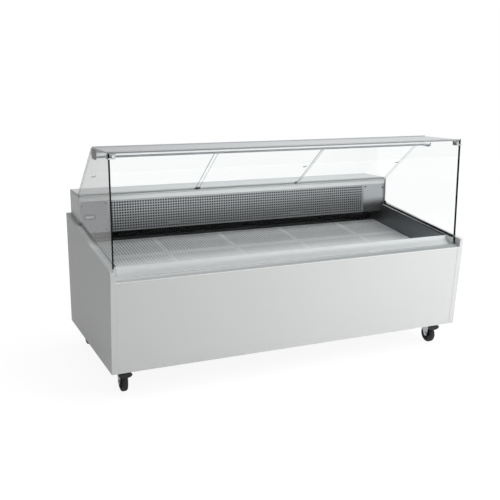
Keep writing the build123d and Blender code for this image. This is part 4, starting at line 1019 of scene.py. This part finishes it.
# Condensing unit behind the rear louvre: an aluminium finned coil with a fan, a black lacquered
# compressor with a weld seam and a terminal cover, and copper lines with a black foam sleeve.
fin_stock = metal("fin_stock", "#a4a8ab", "#babec0", 12 * mm, 0.38)
dress(fin_stock, "condenser_coil")
dress(nylon, "condenser_fan", "power_gland", "main_switch", "lamp_switch")
lacquer = moulded("black_lacquer", ("#131415", "#1b1c1e"), 0.28, 8 * mm, 0.03 * mm)
dress(lacquer, "compressor", "condenser_fan_motor")
sleeve_bottom = 560 * mm
copper = metal_and_cover(
    "copper_with_foam_sleeve", "#b06a45", "#c98360", 0.30, 1.0, "Z", sleeve_bottom, "#0f1011",
)
dress(copper, "refrigerant_lines")
condenser_low, condenser_high = box_of("condenser_coil")
inset = 2 * mm
coil_fins = fins(condenser_low + inset, condenser_high - (inset, 0, 0))
piece("condenser_fins", coil_fins, fin_stock, 20)
can_low, can_high = box_of("compressor")
can = (can_low + can_high) / 2
can_radius = 85 * mm
seam_height = 100 * mm
seam = arc(-math.pi / 2, math.pi / 2, 9) * (3.5 * mm, 4 * mm) + (can_radius - 0.5 * mm, 0.0)
weld = turned(seam, (can[0], can[1], can_low[2] + seam_height), "z", 72)
cover_half = 30 * mm
cover_rear = can[1] + can_radius
cover = soft_block(
    (can[0] - cover_half, cover_rear - 8 * mm, can_low[2] + 45 * mm),
    (can[0] + cover_half, cover_rear + 24 * mm, can_low[2] + 92 * mm), 4 * mm, "y", 8 * mm,
)
piece("compressor_fittings", [weld, cover], lacquer)


# Rear panel, louvre and controls: the panel and the louvre are screwed on from behind. Sloped blades
# stand in the slots of the louvre. The control box is white plastic with two black rockers.
_, rear_high = box_of("rear_panel")
louvre_low, louvre_high = box_of("rear_louvre")
panel_screws = ((955, 190), (955, 400), (955, 610), (945, 760), (945, 865), (480, 865))
panel_places = [(side * x * mm, rear_high[1], z * mm) for side in (-1, 1) for x, z in panel_screws]
screws("rear_panel_screw", panel_places, 1, 5 * mm, 2.2 * mm, zinc)
screw_inset = 9 * mm
louvre_places = [
    (x, louvre_high[1], z)
    for x in (louvre_low[0] + screw_inset, 0.0, louvre_high[0] - screw_inset)
    for z in (louvre_low[2] + screw_inset, louvre_high[2] - screw_inset)
]
screws("louvre_screw", louvre_places, 1, 4 * mm, 1.8 * mm, zinc)
slot_count = 8
slot_pitch = 22 * mm
slot_tall = 12 * mm
slots_tall = (slot_count - 1) * slot_pitch + slot_tall
first_slot = (louvre_low[2] + louvre_high[2] - slots_tall) / 2
blade = 1.2 * mm
blade_inset = 20 * mm
inside, outside = louvre_low[1] + 1 * mm, louvre_high[1] - 0.5 * mm
blades = []
for number in range(slot_count):
    base = first_slot + number * slot_pitch
    top, foot = base + slot_tall, base + 1 * mm
    section = [(inside, top), (outside, foot), (outside, foot + blade), (inside, top + blade)]
    blades.append(straight(section, louvre_low[0] + blade_inset, louvre_high[0] - blade_inset, "x"))
piece("louvre_blades", blades, grey_coat, 20)

white_plastic = moulded("white_abs", ("#dfe1e2", "#e6e8e9"), 0.40, 1.5 * mm, 0.03 * mm)
dress(white_plastic, "control_box")
control_low, control_high = box_of("control_box")
control_middle = control_low[2] + 50 * mm
pocket = np.array([11.2, 16.2]) * mm
rim_section = ((0, 0), (0.6 * mm, 1 * mm), (2.4 * mm, 1 * mm), (3 * mm, 0))
rims = []
for switch in ("main_switch", "lamp_switch"):
    low, high = box_of(switch)
    face = np.array([(low[0] + high[0]) / 2, control_high[1], control_middle])
    rims.append(closed_skin(np.array([[
        face + (right * (pocket[0] + out), rise, up * (pocket[1] + out)) for out, rise in rim_section
    ] for right, up in ((-1, -1), (1, -1), (1, 1), (-1, 1))]), True))
piece("switch_rims", rims, nylon, 30)
lens_green = moulded("green_lens", ("#2f7d4a", "#378a54"), 0.20, 5 * mm, 0.02 * mm)
lens = arc(0.0, 0.475 * math.pi, 8) * (5 * mm, 3 * mm)
lens_place = (control_low[0] + 30 * mm, control_high[1], control_middle)
piece("power_lens", [turned(lens, lens_place, "y", 32)], lens_green)
control_inset = 18 * mm
control_places = [
    (x, control_high[1], z)
    for x in (control_low[0] + control_inset, control_high[0] - control_inset)
    for z in (control_low[2] + control_inset, control_high[2] - control_inset)
]
screws("control_screw", control_places, 1, 3 * mm, 1.4 * mm, zinc)
gland_low, gland_high = box_of("power_gland")
gland_bore = 5.4 * mm
gland_reach = 15.5 * mm
gland_nut = [
    (gland_bore, 0.0), (gland_reach, 0.0), (gland_reach, 2.2 * mm),
    (14 * mm, 3 * mm), (7 * mm, 3 * mm), (gland_bore, 2.4 * mm),
]
gland_middle = (gland_low + gland_high) / 2
gland_place = (gland_middle[0], gland_high[1], gland_middle[2])
piece("gland_nut", [turned(gland_nut, gland_place, "y", 12, True)], nylon, 20)
